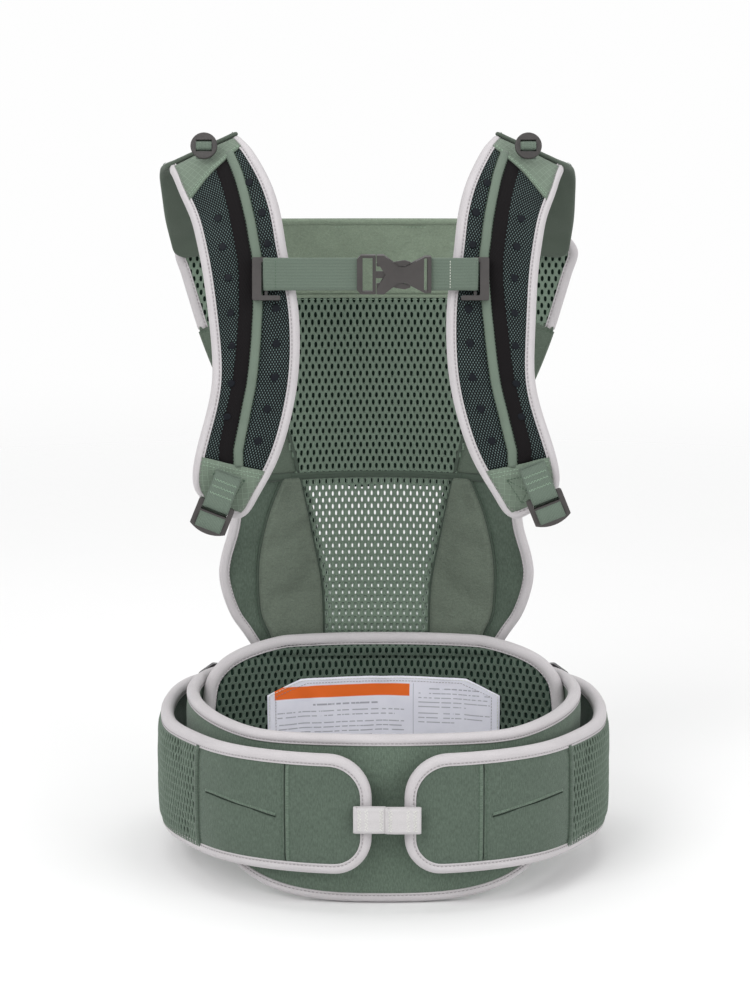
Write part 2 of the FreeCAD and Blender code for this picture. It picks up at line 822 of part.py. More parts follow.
def side_plate(tag, side):
    """Plate between the waist panel and the outer belt."""
    body = new_body("side_plate_" + tag)
    sketch = new_sketch(body, "PlateOutline_" + tag)
    draw_polygon(sketch, mirrored(PLATE_OUTLINE, side))
    plate = pad(body, sketch, "PlatePad_" + tag, 5.0, midplane=False)
    round_edges(body, plate, "PlateRound_" + tag, 3.5, along_y(4.9))
    body.Placement = placed(side * 145, 124, 118, FreeCAD.Rotation(V(0, 0, 1), -side * 14))


closure_tab("left", TAB_LEFT_X, param("tab_join") - TAB_GAP_HALF)
closure_tab("right", param("tab_join") + TAB_GAP_HALF, TAB_RIGHT_X)
for tag, side in SIDES:
    side_plate(tag, side)

# ------------------------------------------------------------ chest strap
CHEST_Y = param("chest_y")
CHEST_Z = param("chest_z")
BUCKLE_HALF = param("buckle_half")
INSERT_BAR = param("male_lx")
SHOULDER = param("male_rx")
HOUSING_BAR = param("female_rx")
SLIDER_LEFT = param("slider_lx")
SLIDER_RIGHT = param("slider_rx")
SLIDER_REACH = 18.0  # end of the lower prong from the bar's middle
PRONG = 3.6  # prong height
WEB_GAP = 8.8  # slider bar to webbing end
WEB_SLOT_HALF = 13.0
LATCH_OFFSET = 1.9  # tongue, arms and their bays lie in front of the mid plane
LATCH_THICK = 2.6
BAY_DEPTH = 3.4
CROSS_X = 13.5  # middle of the housing's waist
# (x, z) outline of the upper latch arm
ARM_OUTLINE = [
    (SHOULDER + 0.4, 6.5), (9, 5.6), (18, 7.4), (21, 9.6),
    (15.5, 11.2), (10, 10.4), (4, 8.9), (SHOULDER + 0.4, 9.4),
]


def chest_slider(tag, x, inward):
    """Bar along the rail, prongs above and below, inner pin for the webbing."""
    body = new_body("chest_slider_" + tag)
    half = param("slider_len") / 2
    bar = param("slider_bar") / 2
    outline = [
        (-bar, -half),
        (SLIDER_REACH, -half),
        (SLIDER_REACH, -half + PRONG),
        (bar, -half + PRONG),
        (bar, half - PRONG),
        (bar + 5, half - PRONG),
        (bar + 5, half),
        (-bar, half),
    ]
    sketch = new_sketch(body, "SliderOutline_" + tag)
    draw_polygon(sketch, mirrored(outline, inward))
    blank = pad(body, sketch, "SliderPad_" + tag, 6.0)
    round_edges(body, blank, "SliderRound_" + tag, 1.2, along_y(5.0))
    pin = new_sketch(body, "SliderPin_" + tag)
    x0, x1 = sorted((inward * (bar + 2.6), inward * (bar + 4.8)))
    draw_rectangle(pin, x0, -half + 1.0, x1, half - 1.0)
    pad(body, pin, "SliderPinPad_" + tag, 2.4)
    body.Placement = placed(
        x, CHEST_Y + 3.2, CHEST_Z - 4.0, FreeCAD.Rotation(V(1, 0, 0), -12.4)
    )


def chest_webbing(tag, x0, x1):
    body = new_body("chest_webbing_" + tag)
    half = param("web_w") / 2
    sketch = new_sketch(body, "WebOutline_" + tag)
    draw_rectangle(sketch, 0, -half, x1 - x0, half, height="Params.web_w")
    pad(body, sketch, "WebPad_" + tag, "Params.web_thick")
    body.Placement = placed(x0, CHEST_Y + 0.9, CHEST_Z)


def buckle_insert():
    """Frame for the webbing and guide tongue."""
    body = new_body("chest_buckle_insert")
    half, slot = BUCKLE_HALF, WEB_SLOT_HALF
    sketch = new_sketch(body, "InsertFrame")
    draw_polygon(sketch, [
        (INSERT_BAR, -half + 3),
        (INSERT_BAR + 3, -half),
        (SHOULDER, -half),
        (SHOULDER, -half + 4),
        (SHOULDER, half - 4),
        (SHOULDER, half),
        (INSERT_BAR + 3, half),
        (INSERT_BAR, half - 3),
    ])
    pad(body, sketch, "InsertPad", "Params.buckle_thick")
    sketch = new_sketch(body, "InsertWindow")
    draw_rectangle(sketch, INSERT_BAR + 4.2, -slot, SHOULDER - 2.6, slot)
    pocket(body, sketch, "InsertSlot", THROUGH)
    sketch = new_sketch(body, "InsertWebChannel", offset=-1.5)
    draw_rectangle(sketch, INSERT_BAR - 1, -slot, SHOULDER + 1, slot)
    pocket(body, sketch, "InsertChannel", 5.2)
    sketch = new_sketch(body, "TongueOutline", offset=LATCH_OFFSET)
    draw_polygon(sketch, [
        (SHOULDER - 1, -2.6), (22, -2.6), (24, -1.2), (24, 1.2), (22, 2.6), (SHOULDER - 1, 2.6),
    ])
    tongue = pad(body, sketch, "TonguePad", LATCH_THICK)
    round_edges(body, tongue, "InsertRound", 1.0, along_y(6.5))
    body.Placement = placed(0, CHEST_Y, CHEST_Z)


def latch_arm(tag, up):
    """One of the two arms that pinch together."""
    body = new_body("latch_arm_" + tag)
    sketch = new_sketch(body, "ArmOutline_" + tag, offset=LATCH_OFFSET)
    draw_polygon(sketch, [(x, up * z) for x, z in ARM_OUTLINE])
    arm = pad(body, sketch, "ArmPad_" + tag, LATCH_THICK)
    round_edges(body, arm, "ArmRound_" + tag, 0.8, along_y(2.4))
    body.Placement = placed(0, CHEST_Y, CHEST_Z)


def buckle_housing():
    """Block narrowed at its middle, hollow for the tongue and arms."""
    body = new_body("chest_buckle_housing")
    half, slot = BUCKLE_HALF, WEB_SLOT_HALF - 0.2
    mouth = SHOULDER + 0.5
    sketch = new_sketch(body, "HousingOutline")
    draw_polygon(sketch, [
        (mouth, half),
        (mouth, half - 4.5),
        (CROSS_X - 12.5, 0),
        (mouth, -half + 4.5),
        (mouth, -half),
        (SHOULDER + 6, -half),
        (CROSS_X - 2.5, -6.2),
        (CROSS_X + 2.5, -6.2),
        (HOUSING_BAR - 5, -half + 1),
        (HOUSING_BAR, -half + 1),
        (HOUSING_BAR, half - 1),
        (HOUSING_BAR - 5, half - 1),
        (CROSS_X + 2.5, 6.2),
        (CROSS_X - 2.5, 6.2),
        (SHOULDER + 6, half),
    ])
    pad(body, sketch, "HousingPad", "Params.buckle_thick + 2")
    sketch = new_sketch(body, "HousingChannel", offset=LATCH_OFFSET)
    draw_rectangle(sketch, SHOULDER - 5, -3.2, HOUSING_BAR - 7.0, 3.2)
    pocket(body, sketch, "ChannelPocket", BAY_DEPTH)
    sketch = new_sketch(body, "HousingArmBay", offset=LATCH_OFFSET)
    draw_rectangle(sketch, SHOULDER - 5, -12.2, 24, 12.2)
    pocket(body, sketch, "ArmBay", BAY_DEPTH)
    sketch = new_sketch(body, "HousingWebSlot")
    draw_rectangle(sketch, HOUSING_BAR - 5.6, -slot, HOUSING_BAR - 3.0, slot)
    hollow = pocket(body, sketch, "WebSlot", THROUGH)
    round_edges(body, hollow, "HousingRound", 1.0, along_y(8.0))
    body.Placement = placed(0, CHEST_Y, CHEST_Z)


chest_slider("left", SLIDER_LEFT, 1)
chest_slider("right", SLIDER_RIGHT, -1)
chest_webbing("left", SLIDER_LEFT + WEB_GAP, INSERT_BAR + 7.0)
chest_webbing("right", HOUSING_BAR + 0.3, SLIDER_RIGHT - WEB_GAP)
buckle_insert()
latch_arm("upper", 1)
latch_arm("lower", -1)
buckle_housing()

# ---------------------------------------------- ladder locks, toggle discs
LOCK_Y = -89.0
TAPE_Y = -84.4
LOCK_XZ = {"left": (-132.8, 293.5 + RISE), "right": (126.5, 300.5 + RISE)}
# slots as x0, z0, x1, z1 about the piece's own origin
LOCK_SLOTS = ((-10.6, 2.6, 10.6, 6.4), (-10.6, -9.6, 10.6, -0.8))
DISC_SLOTS = ((-6.2, 1.4, 6.2, 4.6), (-6.2, -4.6, 6.2, -1.4))
DISC_X = -140.5  # left disc
DISC_Y = -9.0
DISC_Z = 571.0 + RISE
DISC_MIRROR_Z = 570 + RISE  # height at which the right disc's x is mirrored
DISC_LEAN = -18


def cut_slots(body, name, cut_name, slots):
    sketch = new_sketch(body, name)
    for slot in slots:
        draw_rectangle(sketch, *slot)
    return pocket(body, sketch, cut_name, THROUGH)


def ladder_lock(tag, placement):
    """Two-slot plate with a curved lip below."""
    body = new_body("ladder_lock_" + tag)
    half, bottom = param("lock_w") / 2, -param("lock_len") / 2
    sketch = new_sketch(body, "LockOutline_" + tag)
    draw_rectangle(
        sketch, -half, bottom, half, -bottom, width="Params.lock_w", height="Params.lock_len"
    )
    sketch.addConstraint(Sketcher.Constraint("Symmetric", 0, 1, 2, 1, -1, 1))
    pad(body, sketch, "LockPad_" + tag, "Params.lock_thick")
    # the lip overlaps the plate by 1 mm
    lip = new_sketch(body, "LockLip_" + tag)
    corners = [
        V(half, bottom, 0), V(half, bottom + 1, 0), V(-half, bottom + 1, 0), V(-half, bottom, 0),
    ]
    lip.addGeometry(Part.Arc(corners[3], V(0, bottom - 4.2, 0), corners[0]), False)
    for a, b in zip(corners, corners[1:]):
        lip.addGeometry(Part.LineSegment(a, b), False)
    pad(body, lip, "LockLipPad_" + tag, "Params.lock_thick")
    slotted = cut_slots(body, "LockSlots_" + tag, "LockSlotCut_" + tag, LOCK_SLOTS)

    def upper_corner(candidate):
        point = candidate.Vertexes[0].Point
        return along_y(4.0)(candidate) and abs(abs(point.x) - half) < 0.1 and point.z > 0

    round_edges(body, slotted, "LockRound_" + tag, 1.8, upper_corner)
    body.Placement = placement


def strap_end_tape(tag, placement):
    """Tape from the strap end over the upper bar of the lock."""
    body = new_body("strap_end_tape_" + tag)
    half = param("tape_w") / 2
    sketch = new_sketch(body, "TapeOutline_" + tag)
    draw_rectangle(sketch, -half, 3.2, half, 27.0, width="Params.tape_w")
    pad(body, sketch, "TapePad_" + tag, 2.6)
    body.Placement = placement


def toggle_disc(tag, x):
    """Two-slot disc near the strap crest."""
    body = new_body("toggle_disc_" + tag)
    diameter = param("disc_dia")
    sketch = new_sketch(body, "DiscOutline_" + tag)
    sketch.addGeometry(Part.Circle(V(0, 0, 0), V(0, 0, 1), diameter / 2), False)
    sketch.addConstraint(Sketcher.Constraint("Coincident", 0, 3, -1, 1))
    size = Sketcher.Constraint("Diameter", 0, diameter)
    bind_size(sketch, size, "dia", "Params.disc_dia")
    pad(body, sketch, "DiscPad_" + tag, "Params.disc_thick")
    slotted = cut_slots(body, "DiscSlots_" + tag, "DiscSlotCut_" + tag, DISC_SLOTS)

    def rim(candidate):
        return candidate.Curve.TypeId == "Part::GeomCircle" and candidate.Curve.Radius > 9

    round_edges(body, slotted, "DiscRound_" + tag, 1.0, rim)
    body.Placement = placed(x, DISC_Y, DISC_Z, FreeCAD.Rotation(V(1, 0, 0), DISC_LEAN))


for tag, side in SIDES:
    x, z = LOCK_XZ[tag]
    lean = FreeCAD.Rotation(V(0, 1, 0), -side * param("lock_tilt"))
    ladder_lock(tag, placed(x, LOCK_Y, z, lean))
    strap_end_tape(tag, placed(x, TAPE_Y, z, lean))
toggle_disc("left", DISC_X)
toggle_disc("right", mirror_x(DISC_X, DISC_MIRROR_Z))
doc.recompute()

# -------------------------------------------------------- check and export
bad = []
for obj in doc.Objects:
    if any(state in ("Invalid", "Error") for state in obj.State):
        bad.append("%s state %s" % (obj.Name, obj.State))
for node in NODES:
    shape = node.Shape
    if shape is None or shape.isNull() or not shape.isValid() or not shape.Solids:
        bad.append("%s shape is not a valid solid" % node.Label)
if bad:
    raise RuntimeError("; ".join(bad))

os.makedirs("parts", exist_ok=True)
for node in NODES:
    node.Shape.exportStep("parts/%s.step" % node.Label)
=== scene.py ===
"""Soft carrier: a belt ring, a waist panel, a tall back panel and two shoulder straps.

+Z is up. The belt closes at the front (-Y), where the camera stands, and the waist
and back panels stand at the rear (+Y). Left is -X, and the side factor is -1 for left
and +1 for right. Shapes are worked out in millimetres; meshes are made in metres.
"""
import json
import math
import bmesh
import bpy
import numpy as np
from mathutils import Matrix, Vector

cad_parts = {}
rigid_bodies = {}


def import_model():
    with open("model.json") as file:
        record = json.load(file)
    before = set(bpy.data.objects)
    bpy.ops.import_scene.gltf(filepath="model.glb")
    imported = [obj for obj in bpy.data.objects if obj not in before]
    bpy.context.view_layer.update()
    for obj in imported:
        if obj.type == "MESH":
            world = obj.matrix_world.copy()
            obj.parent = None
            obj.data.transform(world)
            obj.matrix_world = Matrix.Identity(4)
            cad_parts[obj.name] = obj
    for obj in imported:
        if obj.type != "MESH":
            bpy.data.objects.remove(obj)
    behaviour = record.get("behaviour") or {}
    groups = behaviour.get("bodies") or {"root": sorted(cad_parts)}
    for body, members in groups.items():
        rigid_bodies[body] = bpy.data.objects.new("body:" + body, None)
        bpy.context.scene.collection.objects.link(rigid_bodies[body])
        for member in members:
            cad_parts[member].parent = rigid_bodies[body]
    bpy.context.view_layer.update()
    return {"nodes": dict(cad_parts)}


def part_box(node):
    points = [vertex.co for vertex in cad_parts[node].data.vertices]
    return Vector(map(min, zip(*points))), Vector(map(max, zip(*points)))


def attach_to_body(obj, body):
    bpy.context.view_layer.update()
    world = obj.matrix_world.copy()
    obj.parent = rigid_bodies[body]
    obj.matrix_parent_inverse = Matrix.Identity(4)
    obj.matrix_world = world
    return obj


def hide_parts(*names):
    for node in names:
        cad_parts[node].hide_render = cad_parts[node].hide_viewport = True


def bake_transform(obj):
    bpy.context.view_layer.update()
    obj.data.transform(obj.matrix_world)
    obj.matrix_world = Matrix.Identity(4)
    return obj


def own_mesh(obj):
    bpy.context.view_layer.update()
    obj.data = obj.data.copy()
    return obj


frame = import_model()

MM = 0.001
# depth (Y) offset of the whole ring, read from where the left closing tape's solid is
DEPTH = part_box("closure_tab_left")[0].y * 1000.0 + 134.6
RISE = 16.0  # the back panel and straps stand this much above their tables
SIDES = ((-1, "left"), (1, "right"))
origin = np.array([0.0, DEPTH, 0.0])  # added to every mesh; raised at the back panel
scene = bpy.context.scene

# Cloth settings that inflate every pad
PUFF_FRAMES = 14
CLOTH = dict(
    pin_stiffness=50.0, quality=4, mass=0.3, tension_stiffness=12.0,
    compression_stiffness=12.0, shear_stiffness=6.0, bending_stiffness=0.4,
    air_damping=2.0, use_pressure=True, uniform_pressure_force=4.0, shrink_min=-0.02,
)

# stitch gauges: spacing, stitch length, thread radius
BINDING_STITCH = (3.2, 2.1, 0.24)
FINE_STITCH = (3.0, 2.0, 0.2)
PANEL_STITCH = (3.0, 2.0, 0.22)
TAPE_STITCH = (3.0, 2.0, 0.24)
ZIGZAG_STITCH = (2.1, 1.9, 0.24)
LOCK_STITCH = (2.1, 1.8, 0.22)
CHEST_STITCH = (2.1, 1.5, 0.26)
RAIL_STITCH = (2.8, 1.8, 0.22)
PATCH_STITCH = (2.6, 1.9, 0.24)
BOX_STITCH = (2.4, 1.9, 0.24)


# =====================================================================
# numeric helpers
# =====================================================================
def unit(a):
    a = np.asarray(a, float)
    return a / np.maximum(np.linalg.norm(a, axis=-1, keepdims=True), 1e-12)


def smoothstep(t):
    return t * t * (3 - 2 * t)


def hump(x, width):
    return np.exp(-((x / width) ** 2))


def corner_inset(dist, radius):
    """How far a rounded corner draws an edge in, at dist from the end."""
    drop = radius - np.sqrt(np.maximum(radius * radius - (radius - dist) ** 2, 0))
    return np.where(dist < radius, drop, 0)


def spline(knots, values, at):
    """Natural cubic spline through rows of values."""
    knots, values, at = (np.asarray(a, float) for a in (knots, values, at))
    n = len(knots)
    step = np.diff(knots)
    A = np.eye(n)
    B = np.zeros_like(values)
    for i in range(1, n - 1):
        A[i, i - 1], A[i, i], A[i, i + 1] = step[i - 1], 2 * (step[i - 1] + step[i]), step[i]
        B[i] = 6 * ((values[i + 1] - values[i]) / step[i] - (values[i] - values[i - 1]) / step[i - 1])
    bend = np.linalg.solve(A, B)
    k = np.clip(np.searchsorted(knots, at) - 1, 0, n - 2)
    h = step[k][:, None]
    a = (knots[k + 1] - at)[:, None] / h
    b = (at - knots[k])[:, None] / h
    curved = ((a**3 - a) * bend[k] + (b**3 - b) * bend[k + 1]) * h**2 / 6
    return a * values[k] + b * values[k + 1] + curved


def arc(path):
    """Length along a polyline at each of its points."""
    return np.r_[0, np.cumsum(np.linalg.norm(np.diff(path, axis=0), axis=1))]


def smooth_path(points, n):
    points = np.asarray(points, float)
    dist = arc(points)
    return spline(dist, points, np.linspace(0, dist[-1], n))


def interp_rows(at, positions, rows):
    return np.stack([np.interp(at, positions, rows[:, k]) for k in range(rows.shape[1])], -1)


def resample(path, step):
    """Even points along a polyline."""
    dist = arc(path)
    n = max(3, int(round(dist[-1] / step)) + 1)
    return interp_rows(np.linspace(0, dist[-1], n), dist, path)


def relax(path, rounds):
    for _ in range(rounds):
        path[1:-1] = path[1:-1] * 0.5 + (path[:-2] + path[2:]) * 0.25
    return path


def tangents(path):
    return unit(np.gradient(path, axis=0))


def right_of(path):
    """Unit vectors to the right of a 2-D path."""
    t = tangents(path)
    return np.stack([t[:, 1], -t[:, 0]], 1)


def facing(path, across):
    """Normals of a strip along path whose width lies along across."""
    return np.cross(tangents(path), across)


def curve(table):
    """Smooth lookup through (position, value) stations, held flat past the ends."""
    x, y = np.array(sorted(table), float).T
    slope = np.r_[(y[1] - y[0]) / (x[1] - x[0]), (y[2:] - y[:-2]) / (x[2:] - x[:-2]),
                  (y[-1] - y[-2]) / (x[-1] - x[-2])]
    xs = np.linspace(x[0], x[-1], 800)
    i = np.clip(np.searchsorted(x, xs) - 1, 0, len(x) - 2)
    w = x[i + 1] - x[i]
    s = (xs - x[i]) / w
    ys = ((2 * s**3 - 3 * s**2 + 1) * y[i] + (s**3 - 2 * s**2 + s) * w * slope[i]
          + (3 * s**2 - 2 * s**3) * y[i + 1] + (s**3 - s**2) * w * slope[i + 1])
    return lambda at: np.interp(at, xs, ys)


def value_noise(points, scale, seed):
    """Smooth value noise, about -1..1; scale is the cell size."""
    p = np.asarray(points, float) / scale
    cell = np.floor(p).astype(np.int64)
    f = smoothstep(p - cell)

    def lattice(a, b, c):
        h = (a * 374761393 + b * 668265263 + c * 2147483647 + seed * 974634777) & 0xFFFFFFFF
        h = ((h ^ (h >> 13)) * 1274126177) & 0xFFFFFFFF
        h = h ^ (h >> 16)
        return (h & 0xFFFF) / 32767.5 - 1.0

    total = 0
    for far in np.ndindex(2, 2, 2):
        wx, wy, wz = (f[..., k] if far[k] else 1 - f[..., k] for k in range(3))
        corner = lattice(*(cell[..., k] + far[k] for k in range(3)))
        total = total + wx * wy * wz * corner
    return total


def round_path(points, radii):
    """2-D polyline with its inner corners rounded, at 3 mm steps."""
    points = [np.asarray(p, float) for p in points]
    out = [points[0]]
    for a, b, c, r in zip(points, points[1:], points[2:], radii):
        to_a, to_c = unit(a - b), unit(c - b)
        half = math.acos(float(np.clip((to_a * to_c).sum(), -1, 1))) / 2
        d = r / math.tan(half)
        centre = b + unit(to_a + to_c) * (r / math.sin(half))
        start = math.atan2(*(b + to_a * d - centre)[::-1])
        end = math.atan2(*(b + to_c * d - centre)[::-1])
        turn = (end - start + math.pi) % (2 * math.pi) - math.pi
        for k in range(13):
            t = start + turn * k / 12
            out.append(centre + r * np.array([math.cos(t), math.sin(t)]))
    out.append(points[-1])
    return resample(np.array(out), 3.0)


class Surf:
    """Bilinear surface over a pad's front grid; normals point away from the back grid."""

    def __init__(self, front, back, us, vs):
        self.grid, self.us, self.vs = front, np.asarray(us, float), np.asarray(vs, float)
        self.normal = unit(np.cross(np.gradient(front, axis=0), np.gradient(front, axis=1)))
        mid = (front.shape[0] // 2, front.shape[1] // 2)
        if ((front - back)[mid] * self.normal[mid]).sum() < 0:
            self.normal = -self.normal

    def at(self, u, v, height=0.0):
        """Points raised by height, and their normals."""
        u, v = np.broadcast_arrays(np.asarray(u, float), np.asarray(v, float))
        iu = np.interp(u, self.us, np.arange(len(self.us)))
        iv = np.interp(v, self.vs, np.arange(len(self.vs)))
        a = np.clip(iu.astype(int), 0, len(self.us) - 2)
        b = np.clip(iv.astype(int), 0, len(self.vs) - 2)
        fu, fv = (iu - a)[..., None], (iv - b)[..., None]

        def mix(x):
            near = x[a, b] * (1 - fu) + x[a + 1, b] * fu
            return near * (1 - fv) + (x[a, b + 1] * (1 - fu) + x[a + 1, b + 1] * fu) * fv

        normal = unit(mix(self.normal))
        return mix(self.grid) + normal * np.asarray(height, float)[..., None], normal


# =====================================================================
# mesh making
# =====================================================================
def make(name, verts, quads, uvs, mat, tris=(), fix=True):
    """Mesh object from millimetre points; fix turns its faces outward."""
    co = (np.asarray(verts, float).reshape(-1, 3) + origin) * MM
    mesh = bpy.data.meshes.new(name)
    mesh.vertices.add(len(co))
    mesh.vertices.foreach_set("co", co.astype(np.float32).ravel())
    quads = np.asarray(quads, np.int32).reshape(-1, 4)
    tris = np.asarray(tris, np.int32).reshape(-1, 3)
    corners = np.r_[quads.ravel(), tris.ravel()]
    sizes = np.r_[np.full(len(quads), 4), np.full(len(tris), 3)].astype(np.int32)
    mesh.loops.add(len(corners))
    mesh.loops.foreach_set("vertex_index", corners)
    mesh.polygons.add(len(sizes))
    mesh.polygons.foreach_set("loop_start", np.r_[0, np.cumsum(sizes)[:-1]].astype(np.int32))
    mesh.polygons.foreach_set("loop_total", sizes)
    layer = mesh.uv_layers.new(name="UVMap")
    layer.data.foreach_set("uv", np.asarray(uvs, np.float32).reshape(-1, 2)[corners].ravel())
    mesh.update(calc_edges=True)
    mesh.validate()
    mesh.polygons.foreach_set("use_smooth", np.full(len(mesh.polygons), True))
    ob = bpy.data.objects.new(name, mesh)
    scene.collection.objects.link(ob)
    mesh.materials.append(mat)
    if fix:
        turn_outward(mesh)
    return ob


def turn_outward(mesh):
    bm = bmesh.new()
    bm.from_mesh(mesh)
    bmesh.ops.recalc_face_normals(bm, faces=bm.faces)
    bm.to_mesh(mesh)
    bm.free()
    mesh.update()


def grid_quads(nu, nv, wrap_v=False):
    U, V = np.meshgrid(np.arange(nu - 1), np.arange(nv if wrap_v else nv - 1), indexing="ij")
    V2 = (V + 1) % nv
    corners = [U * nv + V, (U + 1) * nv + V, (U + 1) * nv + V2, U * nv + V2]
    return np.stack(corners, -1).reshape(-1, 4)


def slab(name, front, back, u, v, mat):
    """Closed thin solid between two (nu, nv, 3) grids. UVs are 1 unit per 100 mm."""
    nu, nv = front.shape[:2]
    n = nu * nv
    quads = grid_quads(nu, nv)
    ring = np.r_[np.arange(nv), np.arange(1, nu) * nv + nv - 1,
                 (nu - 1) * nv + np.arange(nv - 2, -1, -1), np.arange(nu - 2, 0, -1) * nv]
    after = np.roll(ring, -1)
    rim = np.stack([ring, after, after + n, ring + n], -1)
    uv = (np.stack(np.broadcast_arrays(u, v), -1) * 0.01).reshape(-1, 2)
    verts = np.r_[front.reshape(-1, 3), back.reshape(-1, 3)]
    return make(name, verts, np.concatenate([quads, (quads + n)[:, ::-1], rim]),
                np.r_[uv, uv], mat)


def join(objs, name):
    bpy.ops.object.select_all(action="DESELECT")
    for ob in objs:
        ob.select_set(True)
    bpy.context.view_layer.objects.active = objs[0]
    bpy.ops.object.join()
    ob = bpy.context.view_layer.objects.active
    ob.name = name
    ob.data.name = name
    return ob


def attach(ob, body, *nodes, slot=None, blend=None):
    if blend:
        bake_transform(ob)
    else:
        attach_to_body(ob, body)
    if nodes:
        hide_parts(*nodes)


# =====================================================================
# pads: cloth inflated between its sewn edges
# =====================================================================
def puff(ob, pins, swell):
    """Points (mm) after cloth pressure, scaled to swell and limited to 1.35 of it."""
    rest = np.empty(len(ob.data.vertices) * 3)
    ob.data.vertices.foreach_get("co", rest)
    rest = rest.reshape(-1, 3)
    group = ob.vertex_groups.new(name="pin")
    group.add([int(i) for i in pins], 1.0, "REPLACE")
    cloth = ob.modifiers.new("Cloth", "CLOTH")
    cloth.settings.vertex_group_mass = "pin"
    for key, value in CLOTH.items():
        setattr(cloth.settings, key, value)
    cloth.settings.effector_weights.gravity = 0.0
    cloth.collision_settings.use_collision = False
    cloth.collision_settings.use_self_collision = False
    cloth.point_cache.frame_start = 1
    cloth.point_cache.frame_end = PUFF_FRAMES
    others = [o for o in scene.objects
              if o is not ob and not o.hide_viewport and o.type == "MESH"]
    for other in others:
        other.hide_viewport = True
    for f in range(1, PUFF_FRAMES + 1):
        scene.frame_set(f)
    result = ob.evaluated_get(bpy.context.evaluated_depsgraph_get())
    mesh = result.to_mesh()
    co = np.empty(len(mesh.vertices) * 3)
    mesh.vertices.foreach_get("co", co)
    result.to_mesh_clear()
    for other in others:
        other.hide_viewport = False
    ob.modifiers.remove(cloth)
    ob.vertex_groups.remove(group)
    scene.frame_set(1)
    move = (co.reshape(-1, 3) - rest) / MM
    dist = np.linalg.norm(move, axis=1)
    scale = swell / (np.percentile(dist, 97) + 1e-9)
    cap = swell * 1.35
    move, dist = move * scale, dist * scale
    move *= (cap * np.tanh(dist / cap) / np.maximum(dist, 1e-9))[:, None]
    return rest / MM + move


def rim_fade(nu, nv):
    """0 at the rim of a grid, rising to 1 three cells in."""
    a, b = (np.clip(np.minimum(np.arange(n), np.arange(n)[::-1]) / 3, 0, 1) for n in (nu, nv))
    return np.sin(a * math.pi / 2)[:, None] * np.sin(b * math.pi / 2)[None, :]


def pad(name, front, back, u, v, mat, swell, rows, cols, seed, wrinkle, press=None, pin=1):
    """Sewn pad, inflated, wrinkled and then pressed by a height grid.

    pin is how many rim rows stay put. Returns the object and its front Surf,
    whose axes are rows and cols."""
    nu, nv = front.shape[:2]
    ob = slab(name, front, back, u, v, mat)
    n = nu * nv
    rim = [i * nv + j for i in range(nu) for j in range(nv)
           if min(i, nu - 1 - i) < pin or min(j, nv - 1 - j) < pin]
    new = puff(ob, rim + [r + n for r in rim], swell) - origin
    front, back = new[:n].reshape(nu, nv, 3), new[n:].reshape(nu, nv, 3)
    fade = rim_fade(nu, nv)
    normal = unit(np.cross(np.gradient(front, axis=0), np.gradient(front, axis=1)))
    normal = normal * np.sign(((front - back) * normal).sum(-1, keepdims=True))
    creases = (value_noise(front, 26, seed) * 0.65
               + value_noise(front * np.array([1, 1, 2.2]), 11, seed + 5) * 0.35)
    front = front + normal * (creases * wrinkle * fade)[..., None]
    back = back - normal * (value_noise(back, 24, seed + 9) * wrinkle * fade)[..., None]
    if press is not None:
        front = front + normal * press[..., None]
    co = (np.r_[front.reshape(-1, 3), back.reshape(-1, 3)] + origin) * MM
    ob.data.vertices.foreach_set("co", co.astype(np.float32).ravel())
    ob.data.update()
    smoothing = ob.modifiers.new("Subdivision", "SUBSURF")
    smoothing.levels = smoothing.render_levels = 1
    smoothing.uv_smooth = "PRESERVE_BOUNDARIES"
    return ob, Surf(front, back, rows, cols)


